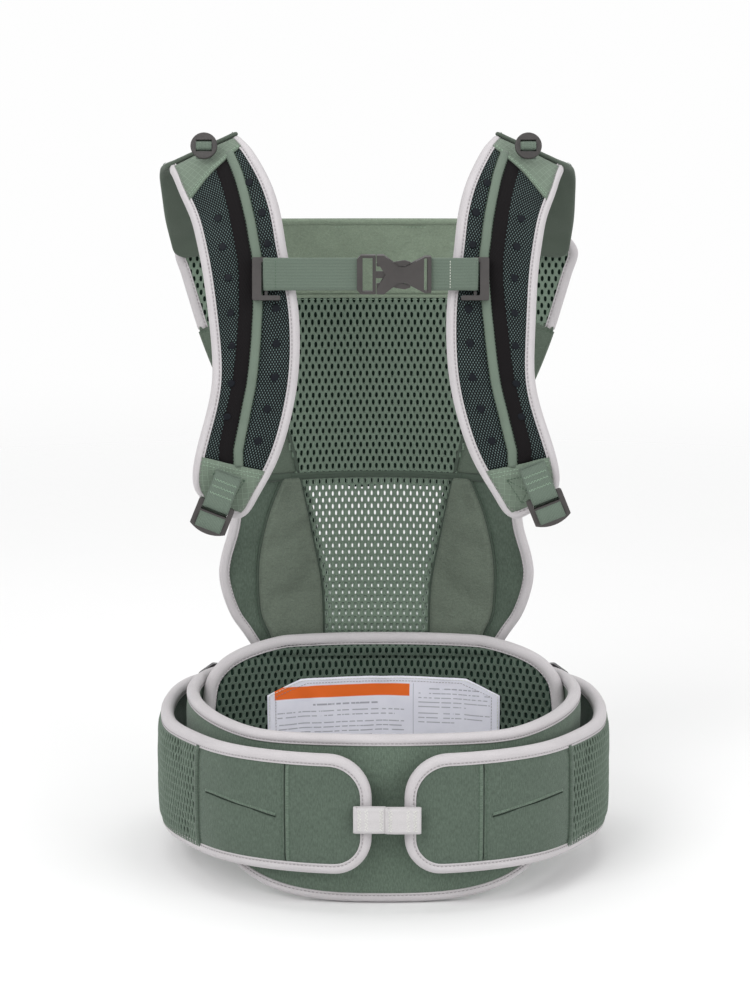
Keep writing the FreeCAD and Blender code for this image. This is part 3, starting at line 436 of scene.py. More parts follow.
# =====================================================================
# materials
# =====================================================================
class Shader:
    """Node material that ends in a Principled BSDF."""

    def __init__(self, name):
        self.material = bpy.data.materials.new(name)
        self.material.use_nodes = True
        self.tree = self.material.node_tree
        self.tree.nodes.clear()
        self.output = self.add("ShaderNodeOutputMaterial")
        self.bsdf = self.add("ShaderNodeBsdfPrincipled")
        self.put(self.output.inputs[0], self.bsdf.outputs[0])

    def add(self, kind, **props):
        node = self.tree.nodes.new(kind)
        for key, value in props.items():
            setattr(node, key, value)
        return node

    def put(self, socket, value):
        """Link a socket, or set its value; colours get an alpha of 1."""
        if isinstance(value, bpy.types.NodeSocket):
            self.tree.links.new(value, socket)
        elif isinstance(value, tuple) and len(socket.default_value) == 4:
            socket.default_value = value + (1.0,)
        else:
            socket.default_value = value

    def math(self, op, *values):
        node = self.add("ShaderNodeMath", operation=op)
        for socket, value in zip(node.inputs, values):
            self.put(socket, value)
        return node.outputs[0]

    def plus(self, a, b):
        return self.math("ADD", a, b)

    def times(self, a, b):
        return self.math("MULTIPLY", a, b)

    def scaled(self, x, gain, base):
        return self.math("MULTIPLY_ADD", x, gain, base)

    def weigh(self, *terms):
        """Sum of (value, weight) terms."""
        total = None
        for value, weight in terms:
            part = self.times(value, weight)
            total = part if total is None else self.plus(total, part)
        return total

    def mix(self, factor, a, b, mode="MIX"):
        node = self.add("ShaderNodeMix", data_type="RGBA", blend_type=mode)
        node.clamp_factor = True
        self.put(node.inputs[0], factor)
        self.put(node.inputs[6], a)
        self.put(node.inputs[7], b)
        return node.outputs[2]

    def ramp(self, x, low=0.3, high=0.7):
        """Smooth step from 0 at low to 1 at high."""
        node = self.add("ShaderNodeMapRange", interpolation_type="SMOOTHSTEP")
        self.put(node.inputs[0], x)
        node.inputs[1].default_value = low
        node.inputs[2].default_value = high
        return node.outputs[0]

    def mapping(self, source, scale, turn=0.0):
        node = self.add("ShaderNodeMapping")
        node.inputs["Rotation"].default_value = (0, 0, turn)
        node.inputs["Scale"].default_value = scale
        self.put(node.inputs[0], source)
        return node.outputs[0]

    def uv(self, u=1.0, v=1.0, turn=0.0):
        """UV vector in mm times (u, v)."""
        source = self.add("ShaderNodeUVMap").outputs[0]
        return self.mapping(source, (100.0 * u, 100.0 * v, 1.0), turn)

    def uv_axes(self, turn=0.0):
        node = self.add("ShaderNodeSeparateXYZ")
        self.put(node.inputs[0], self.uv(turn=turn))
        return node.outputs[0], node.outputs[1]

    def object_space(self, x=1.0, y=1.0, z=1.0):
        """Object position in mm times (x, y, z)."""
        source = self.add("ShaderNodeTexCoord").outputs["Object"]
        return self.mapping(source, (1000.0 * x, 1000.0 * y, 1000.0 * z))

    def noise(self, vector, scale=1.0, detail=3.0, rough=0.6, distort=0.0):
        node = self.add("ShaderNodeTexNoise")
        self.put(node.inputs["Vector"], vector)
        node.inputs["Scale"].default_value = scale
        node.inputs["Detail"].default_value = detail
        node.inputs["Roughness"].default_value = rough
        node.inputs["Distortion"].default_value = distort
        return node.outputs[0]

    def uv_noise(self, u, v, **settings):
        return self.noise(self.uv(u, v), **settings)

    def wave(self, x, period):
        """0..1 sine along x."""
        sine = self.math("SINE", self.times(x, 2 * math.pi / period))
        return self.scaled(sine, gain=0.5, base=0.5)

    def bump(self, height, distance, strength, under=None):
        node = self.add("ShaderNodeBump")
        node.inputs["Strength"].default_value = strength
        node.inputs["Distance"].default_value = distance
        self.put(node.inputs["Height"], height)
        if under is not None:
            self.put(node.inputs["Normal"], under)
        return node.outputs[0]

    def finish(self, color, rough, normal=None, sheen=0.0, specular=0.3, tint=(1, 1, 1),
               coat=0.0, sheen_rough=0.5):
        inputs = self.bsdf.inputs
        self.put(inputs["Base Color"], color)
        self.put(inputs["Roughness"], rough)
        if normal is not None:
            self.put(inputs["Normal"], normal)
        inputs["Specular IOR Level"].default_value = specular
        inputs["Sheen Weight"].default_value = sheen
        inputs["Sheen Roughness"].default_value = sheen_rough
        inputs["Sheen Tint"].default_value = tint + (1.0,)
        inputs["Coat Weight"].default_value = coat
        return self.material


def srgb(*rgb):
    """Linear colour from 0-255 sRGB."""
    return tuple((c / 255) / 12.92 if c / 255 <= 0.04045 else ((c / 255 + 0.055) / 1.055) ** 2.4
                 for c in rgb)


def shade(color, factor):
    return tuple(min(1.0, c * factor) for c in color)


def knit(name, color):
    """Brushed double knit: fine wales, soft heather and slow shade change."""
    sh = Shader(name)
    u, v = sh.uv_axes()
    wale = sh.wave(u, period=1.05)
    wobble = sh.uv_noise(u=0.22, v=0.9, detail=2.0, rough=0.55)
    row = sh.wave(sh.plus(v, sh.times(wale, 0.35)), period=0.95)
    loops = sh.times(wale, row)
    heather = sh.uv_noise(u=0.95, v=0.28, detail=4.0, rough=0.7)
    slow = sh.uv_noise(u=0.02, v=0.02)
    mottle = sh.uv_noise(u=0.14, v=0.09, rough=0.65)
    tone = sh.weigh((sh.ramp(heather, low=0.35, high=0.66), 0.56), (loops, 0.26),
                    (sh.ramp(slow), 0.08), (sh.ramp(mottle), 0.1))
    contrast = 0.22 * 1.5
    col = sh.mix(tone, shade(color, 1 - contrast), shade(color, 1 + contrast))
    relief = sh.weigh((loops, 0.6), (heather, 0.6))
    normal = sh.bump(relief, distance=0.00035, strength=0.55)
    normal = sh.bump(wobble, distance=0.0012, strength=0.25, under=normal)
    return sh.finish(col, sh.scaled(heather, gain=0.12, base=0.84), normal, sheen=0.25,
                     specular=0.2, tint=(0.85, 0.92, 0.87), sheen_rough=0.45)


def woven(name, color, contrast=0.16, crinkle=0.0):
    """Plain weave with crossing threads and, with crinkle, small creases, their hollows painted
    darker and their ridges lighter as painted shade and highlight.
    """
    sh = Shader(name)
    u, v = sh.uv_axes()
    over = sh.times(sh.wave(u, period=0.62), sh.wave(v, period=0.62))
    fine = sh.uv_noise(u=1.1, v=1.1, rough=0.7)
    slow = sh.uv_noise(u=0.03, v=0.03, detail=4.0)
    tone = sh.weigh((sh.ramp(fine, low=0.32), 0.5), (over, 0.25), (sh.ramp(slow), 0.25))
    col = sh.mix(tone, shade(color, 1 - contrast * 1.3), shade(color, 1 + contrast * 1.3))
    normal = sh.bump(sh.plus(over, fine), distance=0.00022, strength=0.5)
    if crinkle:
        broad = sh.uv_noise(u=0.16, v=0.22, detail=4.0, rough=0.62, distort=0.6)
        small = sh.uv_noise(u=0.5, v=0.6, distort=0.8)
        normal = sh.bump(sh.plus(broad, sh.times(small, 0.35)), distance=0.0022 * crinkle,
                         strength=0.6, under=normal)
        # the crease noise also darkens and lightens the colour: painted shade and highlight on the
        # creases
        depth = 0.085 * crinkle
        folds = sh.ramp(sh.weigh((broad, 0.25), (small, 0.75)), low=0.36, high=0.64)
        col = sh.mix(1.0, col, sh.mix(folds, (1 - depth,) * 3, (1 + depth,) * 3), "MULTIPLY")
    return sh.finish(col, sh.scaled(fine, gain=0.1, base=0.8), normal, sheen=0.18,
                     specular=0.25, tint=(0.9, 0.95, 0.9))


def spacer_yarn(name, color):
    """Thick knitted spacer yarn between the open holes."""
    sh = Shader(name)
    u, v = sh.uv_axes()
    along = sh.wave(v, period=0.8)
    across = sh.wave(u, period=0.9)
    fine = sh.uv_noise(u=1.3, v=0.8, rough=0.7)
    slow = sh.uv_noise(u=0.05, v=0.05)
    tone = sh.weigh((sh.times(across, along), 0.35), (sh.ramp(fine), 0.4), (slow, 0.25))
    col = sh.mix(tone, shade(color, 0.75), shade(color, 1.25))
    normal = sh.bump(sh.plus(sh.times(across, along), fine), distance=0.0003, strength=0.6)
    return sh.finish(col, 0.82, normal, sheen=0.22, tint=(0.85, 0.95, 0.88))


def webbing(name, color):
    """Woven webbing: ribs run along u, weft picks cross them."""
    sh = Shader(name)
    u, v = sh.uv_axes()
    rib = sh.wave(v, period=1.15)
    pick = sh.wave(sh.plus(u, sh.times(sh.ramp(rib), 0.7)), period=1.4)
    fine = sh.uv_noise(u=0.9, v=1.6, rough=0.7)
    slow = sh.uv_noise(u=0.04, v=0.1)
    tone = sh.weigh((rib, 0.42), (sh.ramp(fine), 0.3), (pick, 0.12), (slow, 0.16))
    col = sh.mix(tone, shade(color, 0.66), shade(color, 1.32))
    normal = sh.bump(sh.plus(rib, sh.times(pick, 0.35)), distance=0.00035, strength=0.8)
    return sh.finish(col, 0.7, normal, sheen=0.12, specular=0.35, tint=(0.9, 1, 0.92))


def ripstop(name, color):
    """Plain weave with a raised square grid of heavier threads, set askew."""
    sh = Shader(name)
    u, v = sh.uv_axes(turn=0.35)
    lines = [sh.ramp(sh.wave(axis, period=4.2), low=0.93, high=0.995) for axis in (u, v)]
    grid = sh.math("MAXIMUM", *lines)
    weave = sh.times(sh.wave(u, period=0.52), sh.wave(v, period=0.52))
    fine = sh.uv_noise(u=1.2, v=1.2, rough=0.7)
    slow = sh.uv_noise(u=0.05, v=0.05)
    tone = sh.weigh((fine, 0.4), (slow, 0.4), (weave, 0.2))
    col = sh.mix(tone, shade(color, 0.78), shade(color, 1.22))
    col = sh.mix(sh.times(grid, 0.55), col, shade(color, 1.65))
    normal = sh.bump(sh.weigh((grid, 1.2), (weave, 0.4)), distance=0.0003, strength=0.8)
    return sh.finish(col, 0.62, normal, sheen=0.1, specular=0.4)


def tape(name, color, pitch=0.8):
    """Folded binding or tape: fine diagonal weave, faint soiling."""
    sh = Shader(name)
    u, v = sh.uv_axes()
    rising = sh.wave(sh.plus(u, v), period=pitch)
    falling = sh.wave(sh.math("SUBTRACT", u, v), period=pitch * 1.6)
    fine = sh.uv_noise(u=1.0, v=1.0, rough=0.7)
    slow = sh.uv_noise(u=0.03, v=0.12, detail=4.0)
    tone = sh.weigh((sh.ramp(fine), 0.4), (sh.times(rising, falling), 0.25),
                    (sh.ramp(slow), 0.35))
    col = sh.mix(tone, shade(color, 0.88), shade(color, 1.1))
    normal = sh.bump(sh.plus(sh.times(rising, falling), fine), distance=0.00016, strength=0.5)
    ripple = sh.uv_noise(u=0.1, v=0.35, detail=2.0, rough=0.55)
    normal = sh.bump(ripple, distance=0.0009, strength=0.25, under=normal)
    return sh.finish(col, sh.scaled(fine, gain=0.12, base=0.66), normal, sheen=0.15)


def diamond_mesh(name):
    """Two-tone strap mesh: teal diamonds of yarn over a black ground."""
    sh = Shader(name)
    u, v = sh.uv_axes()
    rising = sh.wave(sh.plus(u, sh.times(v, 0.62)), period=2.2)
    falling = sh.wave(sh.math("SUBTRACT", u, sh.times(v, 0.62)), period=2.2)
    net = sh.math("MAXIMUM", sh.ramp(rising, low=0.62, high=0.95),
                  sh.ramp(falling, low=0.62, high=0.95))
    cross = sh.times(sh.ramp(rising, low=0.5, high=0.9), sh.ramp(falling, low=0.5, high=0.9))
    slow = sh.uv_noise(u=0.05, v=0.03)
    fine = sh.uv_noise(u=1.6, v=1.6, detail=2.0)
    tone = sh.times(sh.weigh((net, 0.06), (cross, 0.8)), sh.scaled(slow, gain=0.9, base=0.5))
    col = sh.mix(tone, srgb(6, 8, 9), srgb(126, 150, 147))
    col = sh.mix(sh.times(fine, 0.15), col, srgb(24, 32, 36))
    normal = sh.bump(sh.plus(net, cross), distance=0.0005, strength=0.7)
    return sh.finish(col, 0.65, normal, specular=0.15)


def channel_knit(name):
    """Near-black knit with slanting ribs."""
    sh = Shader(name)
    u, v = sh.uv_axes()
    rib = sh.wave(sh.plus(u, sh.times(v, 0.5)), period=1.3)
    fine = sh.uv_noise(u=1.2, v=1.2)
    col = sh.mix(sh.weigh((rib, 0.5), (fine, 0.4)), srgb(7, 6, 7), srgb(24, 20, 22))
    return sh.finish(col, 0.75, sh.bump(rib, distance=0.0003, strength=0.6), specular=0.15)


def plastic(name, color, rough=0.42, grain_depth=0.00012, coat=0.0):
    """Moulded plastic: fine grain, scuffs and a painted highlight along sharp edges."""
    sh = Shader(name)
    position = sh.object_space()
    grain = sh.noise(position, scale=2.6, detail=2.0)
    scuff = sh.noise(sh.object_space(x=0.25, y=0.25, z=1.2), scale=0.5, detail=4.0, rough=0.7)
    cloud = sh.noise(position, scale=0.12)
    pointiness = sh.add("ShaderNodeNewGeometry").outputs["Pointiness"]
    edge = sh.ramp(pointiness, low=0.5, high=0.62)
    col = sh.mix(sh.ramp(cloud), shade(color, 0.88), shade(color, 1.14))
    # sharp edges painted up to 1.7 times lighter: a painted highlight
    col = sh.mix(sh.times(edge, 0.35), col, shade(color, 1.7))
    gloss = sh.scaled(sh.ramp(scuff, low=0.35), gain=0.16, base=rough - 0.04)
    normal = sh.bump(grain, distance=grain_depth, strength=0.6)
    normal = sh.bump(scuff, distance=0.0002, strength=0.15, under=normal)
    return sh.finish(col, gloss, normal, specular=0.5, coat=coat)


def plain(name, color, rough=0.9):
    """Flat colour with a light fleck: threads, prints and linings."""
    sh = Shader(name)
    fleck = sh.uv_noise(u=0.8, v=0.8, rough=0.7)
    col = sh.mix(fleck, shade(color, 1 - 0.12), shade(color, 1 + 0.12))
    return sh.finish(col, rough, sh.bump(fleck, distance=0.0002, strength=0.5), specular=0.15)


# ruled bars on the label: height, left end, right end, thickness
LABEL_BARS = [
    (37.2, -60, -5, 1.5), (31.5, -90, 18, 0.9), (27.6, -90, 10, 0.9), (21.5, -90, 18, 0.9),
    (17.6, -90, 16, 0.9), (13.7, -90, 18, 0.9), (9.8, -90, -10, 0.9), (50.0, 30, 84, 1.0),
    (46.0, 30, 90, 0.8), (42.2, 30, 88, 0.8), (38.4, 30, 90, 0.8), (34.6, 30, 70, 0.8),
    (29.0, 30, 90, 0.8), (25.2, 30, 84, 0.8), (21.4, 30, 60, 0.8),
]


def satin_label(name):
    """Satin care label: orange band and plain ruled bars, no lettering."""
    sh = Shader(name)
    x, y = sh.uv_axes()

    def span(axis, low, high, soft):
        fall = sh.ramp(axis, low=high - soft, high=high + soft)
        return sh.times(sh.ramp(axis, low=low - soft, high=low + soft),
                        sh.math("SUBTRACT", 1.0, fall))

    def box(x0, x1, y0, y1, soft):
        return sh.times(span(x, x0, x1, soft), span(y, y0, y1, soft))

    fine = sh.uv_noise(u=0.5, v=2.4)
    slow = sh.uv_noise(u=0.05, v=0.05)
    col = sh.mix(sh.scaled(slow, gain=0.6, base=sh.times(fine, 0.3)),
                 srgb(212, 212, 226), srgb(242, 241, 249))
    band = box(x0=-92, x1=22.5, y0=43.2, y1=53.6, soft=0.35)
    col = sh.mix(band, col, srgb(232, 104, 28))
    bars = None
    for height, x0, x1, thick in LABEL_BARS:
        bar = box(x0, x1, height - thick / 2, height + thick / 2, soft=0.25)
        bars = bar if bars is None else sh.math("MAXIMUM", bars, bar)
    dashes = sh.ramp(sh.uv_noise(u=0.32, v=0.05, detail=1.0, rough=0.5), low=0.4, high=0.46)
    col = sh.mix(sh.times(sh.times(bars, dashes), 0.55), col, srgb(70, 72, 84))
    divider = box(x0=25.4, x1=26.0, y0=-60, y1=54, soft=0.15)
    col = sh.mix(sh.times(divider, 0.5), col, srgb(110, 112, 124))
    normal = sh.bump(sh.plus(fine, slow), distance=0.0002, strength=0.5)
    return sh.finish(col, sh.scaled(fine, gain=0.15, base=0.42), normal, specular=0.45,
                     sheen=0.05)


KNIT = knit("green_knit", srgb(84, 97, 86))
KNIT_INNER = knit("green_knit_inner", srgb(74, 92, 80))
# inner belt knit; also drawn on the belt's fold lips as a painted highlight
KNIT_BELT_AND_LIP_HIGHLIGHT = knit("green_knit_inner_belt_and_lip_highlight", srgb(95, 110, 97))
MESH_HIP = spacer_yarn("green_spacer_mesh_hip", srgb(98, 113, 100))
LOBE_WEAVE = woven("green_woven_lobe", srgb(99, 109, 97), contrast=0.2, crinkle=1.0)
SIDE_WEAVE = woven("green_woven_side", srgb(88, 100, 88), contrast=0.18, crinkle=0.6)
BAND_WEAVE = woven("green_crinkle_weave", srgb(124, 138, 120), crinkle=1.0)
# yoke weave, its dark tone partly painted shade from the yoke's shaded underside
YOKE_WEAVE_SHADED = woven("green_yoke_weave_shaded", srgb(76, 86, 76))
# yarn green raised to the lit strands' tone, partly painted highlight; MESH_SHADED is its shaded copy
MESH = spacer_yarn("green_spacer_mesh", srgb(113, 130, 115))
MESH_SHADED = spacer_yarn("green_spacer_mesh_shaded", srgb(84, 100, 88))
# backing layer under the meshes; its dark colour is painted shade, so the holes read dark
SHADE_BACKING = plain("mesh_backing_painted_shade", srgb(30, 48, 40))
WEBBING = webbing("green_webbing", srgb(96, 110, 98))
RIPSTOP = ripstop("green_ripstop", srgb(106, 121, 106))
BINDING = tape("gray_binding", srgb(191, 187, 189))
GRAY_TAPE = tape("gray_tape", srgb(194, 191, 192), pitch=0.6)
PIPING = tape("green_piping", srgb(102, 116, 103), pitch=0.7)
TEAL_MESH = diamond_mesh("teal_strap_mesh")
CHANNEL = channel_knit("dark_channel_knit")
DARK_PLASTIC = plastic("dark_acetal", srgb(52, 49, 48))
GLOSS_PLASTIC = plastic("gloss_black_plastic", srgb(38, 36, 38), rough=0.22,
                        grain_depth=0.00004, coat=0.25)
LABEL = satin_label("satin_label")
THREAD_GRAY = plain("gray_thread", srgb(150, 145, 147), rough=0.8)
THREAD_GREEN = plain("green_thread", srgb(84, 104, 88), rough=0.8)
THREAD_LIGHT = plain("light_green_thread", srgb(150, 172, 152), rough=0.8)
THREAD_WHITE = plain("white_thread", srgb(214, 216, 208), rough=0.8)
# painted shadow line for the belt's crease and pocket slit
SEAM_SHADOW_LINE = plain("painted_seam_shadow", srgb(40, 49, 42))
SEAM_TAPE = tape("green_seam_tape", srgb(66, 79, 68), pitch=0.7)
# pale fill between the seat mesh faces: painted light, the rear layer lit through the slots
LIT_SLOT_FILL = plain("painted_light_slot_fill", srgb(172, 188, 176), rough=0.8)
DOT_PRINT = plain("black_dot_print", srgb(16, 20, 26), rough=0.55)


# =====================================================================
# sewn details
# =====================================================================
def tube(path, normals, profile, mat, side=1.0):
    """Sweep a closed profile of (outward, along normal) points along a path."""
    path, normals = np.asarray(path, float), unit(normals)
    t = tangents(path)
    out = unit(np.cross(t, normals)) * side
    up = unit(np.cross(out, t)) * side
    profile = np.asarray(profile, float)
    n, k = len(path), len(profile)
    verts = path[:, None] + out[:, None] * profile[None, :, :1] + up[:, None] * profile[None, :, 1:]
    girth = arc(np.vstack([profile, profile[:1]]))[:k]
    uv = np.stack(np.broadcast_arrays(arc(path)[:, None], girth[None]), -1) * 0.01
    tris = []
    end = (n - 1) * k
    for a in range(k // 2 - 1):
        b, c, d = a + 1, k - 1 - a, k - 2 - a
        tris += [(a, b, d), (a, d, c)]
        tris += [(end + a, end + d, end + b), (end + a, end + c, end + d)]
    return make("tube", verts, grid_quads(n, k, wrap_v=True), uv, mat, tris=tris)


def binding_profile(width, half, skin=0.7):
    """Cloth folded round an edge: rounded outside, stitched lip inside."""
    w, h = width, half
    front = np.array([
        (-w, h - 0.75), (-w + 0.12, h + 0.05), (-w + 0.55, h + 0.34), (-w + 1.0, h + 0.18),
        (-w + 1.45, h - 0.28), (-w + 2.1, h + 0.12), (-w + 3.2, h + 0.5),
        (-w * 0.42, h + 0.42), (-w * 0.28, h * 0.93), (-w * 0.15, h * 0.76),
        (-w * 0.06, h * 0.5), (-w * 0.012, h * 0.22),
    ])
    outer = np.r_[front, front[::-1] * np.array([1, -1])]
    a, n = outer[::-1].T
    inner = np.stack([np.clip(a, -w, -skin), np.maximum(np.abs(n) - skin, 0.0) * np.sign(n)], 1)
    return np.r_[outer, inner]


def oval(half_width, half_height, n):
    angle = np.linspace(0, 2 * math.pi, n + 1)[:-1]
    return np.stack([np.cos(angle) * half_width, np.sin(angle) * half_height], 1)


def welt(path, normals, mat, half_width, half_height):
    """Low rounded ridge, for a turned seam edge or cord."""
    return tube(path, normals, oval(half_width, half_height, 8), mat)


def stitches(path, normals, mat, gauge=BINDING_STITCH):
    """Row of raised thread stitches along a path."""
    spacing, length, r = gauge
    dist = arc(path)
    n = int(dist[-1] / spacing)
    at = (np.arange(n) + 0.5) * dist[-1] / n
    centre = interp_rows(at, dist, path)
    along = unit(interp_rows(at, dist, tangents(path)))
    up = unit(interp_rows(at, dist, normals))
    across = unit(np.cross(along, up))
    verts = []
    # rings along a stitch: place along it, thickness, lift
    for f, k, lift in ((-0.5, 0.35, -0.12), (-0.3, 1.0, 0.05), (0.3, 1.0, 0.05), (0.5, 0.35, -0.12)):
        for angle in (math.radians(a) for a in (45, 135, 225, 315)):
            verts.append(centre + along * length * f + across * (r * 1.25 * k * math.cos(angle))
                         + up * (r * k * math.sin(angle) + lift))
    verts = np.stack(verts, 1)
    one = [(i * 4 + j, i * 4 + (j + 1) % 4, (i + 1) * 4 + (j + 1) % 4, (i + 1) * 4 + j)
           for i in range(3) for j in range(4)]
    one += [(3, 2, 1, 0), (12, 13, 14, 15)]
    quads = (np.array(one)[None] + np.arange(n)[:, None, None] * 16).reshape(-1, 4)
    return make("stitches", verts, quads, np.zeros((n * 16, 2)), mat, fix=False)


def front_stitches(path, mat, gauge):
    """Stitches on a face that looks straight to the front."""
    return stitches(path, np.tile([0, -1.0, 0], (len(path), 1)), mat, gauge)


def zigzag(n):
    return np.resize([1.0, -1.0], n)


def spacer_mesh(name, surface, bounds, mat, cut=None, pitch=(5.5, 5.6), hole=(1.12, 2.35),
                thick=2.2, ridge=0.32, size=None):
    """Closed sheet with real slots in a brick lattice.

    surface(u, v, h) gives points; bounds is u0, u1, v0, v1; cut(u, v) says which
    cells are kept; hole is a slot's half width and height; size(u, v) scales cells."""
    u0, u1, v0, v1 = bounds
    p, r = pitch
    row, col = np.meshgrid(np.arange(int((v1 - v0) / r) + 3), np.arange(int((u1 - u0) / p) + 3),
                           indexing="ij")
    uc = (u0 - p + col * p + (row % 2) * p / 2).ravel()
    vc = (v0 - r / 2 + row * r).ravel()
    keep = (uc > u0) & (uc < u1) & (vc > v0) & (vc < v1)
    if cut:
        keep &= cut(uc, vc)
    uc, vc = uc[keep], vc[keep]
    n = len(uc)
    # a cell's border and slot outline, as 12 points each
    bx = np.array([-.5, 0, .5, .5, .5, .5, .5, 0, -.5, -.5, -.5, -.5]) * p
    by = np.array([.5, .5, .5, .25, 0, -.25, -.5, -.5, -.5, -.25, 0, .25]) * r
    hx = np.array([-.66, 0, .66, 1, 1.04, 1, .66, 0, -.66, -1, -1.04, -1]) * hole[0]
    hy = np.array([.82, 1, .82, .45, 0, -.45, -.82, -1, -.82, -.45, 0, .45]) * hole[1]
    grow = np.broadcast_to(size(uc, vc) if size else 1.0, (n,))[:, None]
    hx, hy, bx, by = hx[None] * grow, hy[None] * grow, bx[None] + 0 * grow, by[None] + 0 * grow
    mx, my = bx * 0.42 + hx * 0.58, by * 0.42 + hy * 0.58
    border_h = np.array([0.12, 0.0, 0.12, 0.18, 0.1, 0.18] * 2) * ridge
    rings = [
        (bx, by, border_h),
        (mx, my, np.full(12, ridge)),
        (hx * 1.04, hy * 1.02, np.full(12, -0.12)),
        (hx * 0.97, hy * 0.97, np.full(12, -thick * 0.55)),
        (hx * 1.04, hy * 1.02, np.full(12, -thick + 0.1)),
        (mx, my, np.full(12, -thick - ridge * 0.5)),
        (bx, by, np.full(12, -thick)),
    ]
    U = np.concatenate([uc[:, None] + x for x, y, h in rings], 1)
    V = np.concatenate([vc[:, None] + y for x, y, h in rings], 1)
    H = np.concatenate([np.repeat(h[None], n, 0) for x, y, h in rings], 1)
    layer = np.repeat(np.arange(len(rings)), 12)[None].repeat(n, 0)
    # weld points that neighbouring cells share
    key = np.stack([np.round(U * 64).astype(np.int64), np.round(V * 64).astype(np.int64), layer],
                   -1).reshape(-1, 3)
    _, first, inverse = np.unique(key, axis=0, return_index=True, return_inverse=True)
    u, v, h = (a.reshape(-1)[first] for a in (U, V, H))
    idx = inverse.reshape(n, -1)

    def band(a, top, low):
        b = (a + 1) % 12
        return [idx[:, top + a], idx[:, top + b], idx[:, low + b], idx[:, low + a]]

    quads = np.concatenate([np.stack(band(a, k * 12, k * 12 + 12), -1)
                            for k in range(len(rings) - 1) for a in range(12)])
    # close the outer rim: front border edges that only one cell uses
    back = (len(rings) - 1) * 12
    edges = []
    for a in range(12):
        top_a, top_b, low_b, low_a = band(a, 0, back)
        edges.append(np.stack([top_a, top_b, low_a, low_b], -1))
    edges = np.concatenate(edges)
    _, where, count = np.unique(np.sort(edges[:, :2], axis=1), axis=0, return_index=True,
                                return_counts=True)
    rim = edges[where[count == 1]]
    quads = np.r_[quads, np.stack([rim[:, 1], rim[:, 0], rim[:, 2], rim[:, 3]], -1)]
    return make(name, surface(u, v, h), quads, np.stack([u, v], -1) * 0.01, mat)


def strip(path, normals, half, thick, mat, columns, name="strip"):
    """Flat tape of a half width and thickness along a centre path."""
    across = unit(np.cross(tangents(path), normals))
    w = np.linspace(-1, 1, columns)
    middle = path[:, None] + across[:, None] * (w * half)[None, :, None]
    lift = normals[:, None] * (thick / 2)
    return slab(name, middle + lift, middle - lift, arc(path)[:, None], (w * half)[None], mat)


# =====================================================================
# plan curves, seen from above
# =====================================================================
class Plan:
    """Belt curve seen from above; inset is measured inwards, normals point out."""

    def __init__(self, points):
        self.p = smooth_path(points, 1400)
        self.s = arc(self.p)
        t = tangents(self.p)
        n = np.stack([-t[:, 1], t[:, 0]], 1)
        self.n = n * np.sign((n * (np.array((0, 10)) - self.p)).sum(1))[:, None]

    def at(self, s, z, inset):
        s, z = np.broadcast_arrays(np.asarray(s, float), np.asarray(z, float))
        px, py = np.interp(s, self.s, self.p[:, 0]), np.interp(s, self.s, self.p[:, 1])
        nx, ny = np.interp(s, self.s, self.n[:, 0]), np.interp(s, self.s, self.n[:, 1])
        length = np.hypot(nx, ny)
        nx, ny = nx / length, ny / length
        points = np.stack([px + nx * inset, py + ny * inset, z + 0 * px], -1)
        return points, np.stack([-nx, -ny, 0 * nx], -1)

    def first(self, test):
        """Length along the curve where test(x, y) first holds."""
        return self.s[np.argmax(test(self.p[:, 0], self.p[:, 1]))]

    def front_station(self, y, half_x):
        """First place forward of y that lies within half_x of the middle."""
        return self.first(lambda px, py: (py < y) & (np.abs(px) <= half_x))


class RisingPlan(Plan):
    """Outer belt curve: the wings rise a little towards the closing side."""

    def at(self, s, z, inset):
        p, n = Plan.at(self, s, z, inset)
        p[..., 2] += 7.5 * smoothstep(np.clip((20.0 - p[..., 1]) / 150.0, 0, 1))
        return p, n


# =====================================================================
# outer belt: two halves that meet at the rear, each bending at its wing
# =====================================================================
# x, y of the right half from the rear middle to the front
WING_CURVE = [
    (0, 152), (45, 154), (90, 160), (124, 166), (152, 158), (171, 137), (182, 104), (186, 45),
    (180, 3), (162, -40), (128, -92), (84, -119), (45, -129), (0, -131),
]
BELT_LOW, BELT_TOP = 23.5, 120.5
BELT_MID = (BELT_LOW + BELT_TOP) / 2
BELT_INSET = 1.9  # padding stops this far inside the bound edge
BELT_PAD_HALF = (BELT_TOP - BELT_LOW) / 2 - BELT_INSET
WING_TOP_RADIUS, WING_LOW_RADIUS = 35.0, 30.0
WING_END_X = {"left": 10.0, "right": 16.0}
STITCH_INSET = 7.0
# closing tape: x of its outer end, x of its inner end, y of its middle
CLOSING_TAPE = {"left": (-24.0, 1.6, -133.1), "right": (28.5, 0.6, -134.6)}
CLOSING_TAPE_Z = 78.0
BELT_ROWS = np.linspace(-0.94, 0.94, 40)  # stations for seams that run up the belt


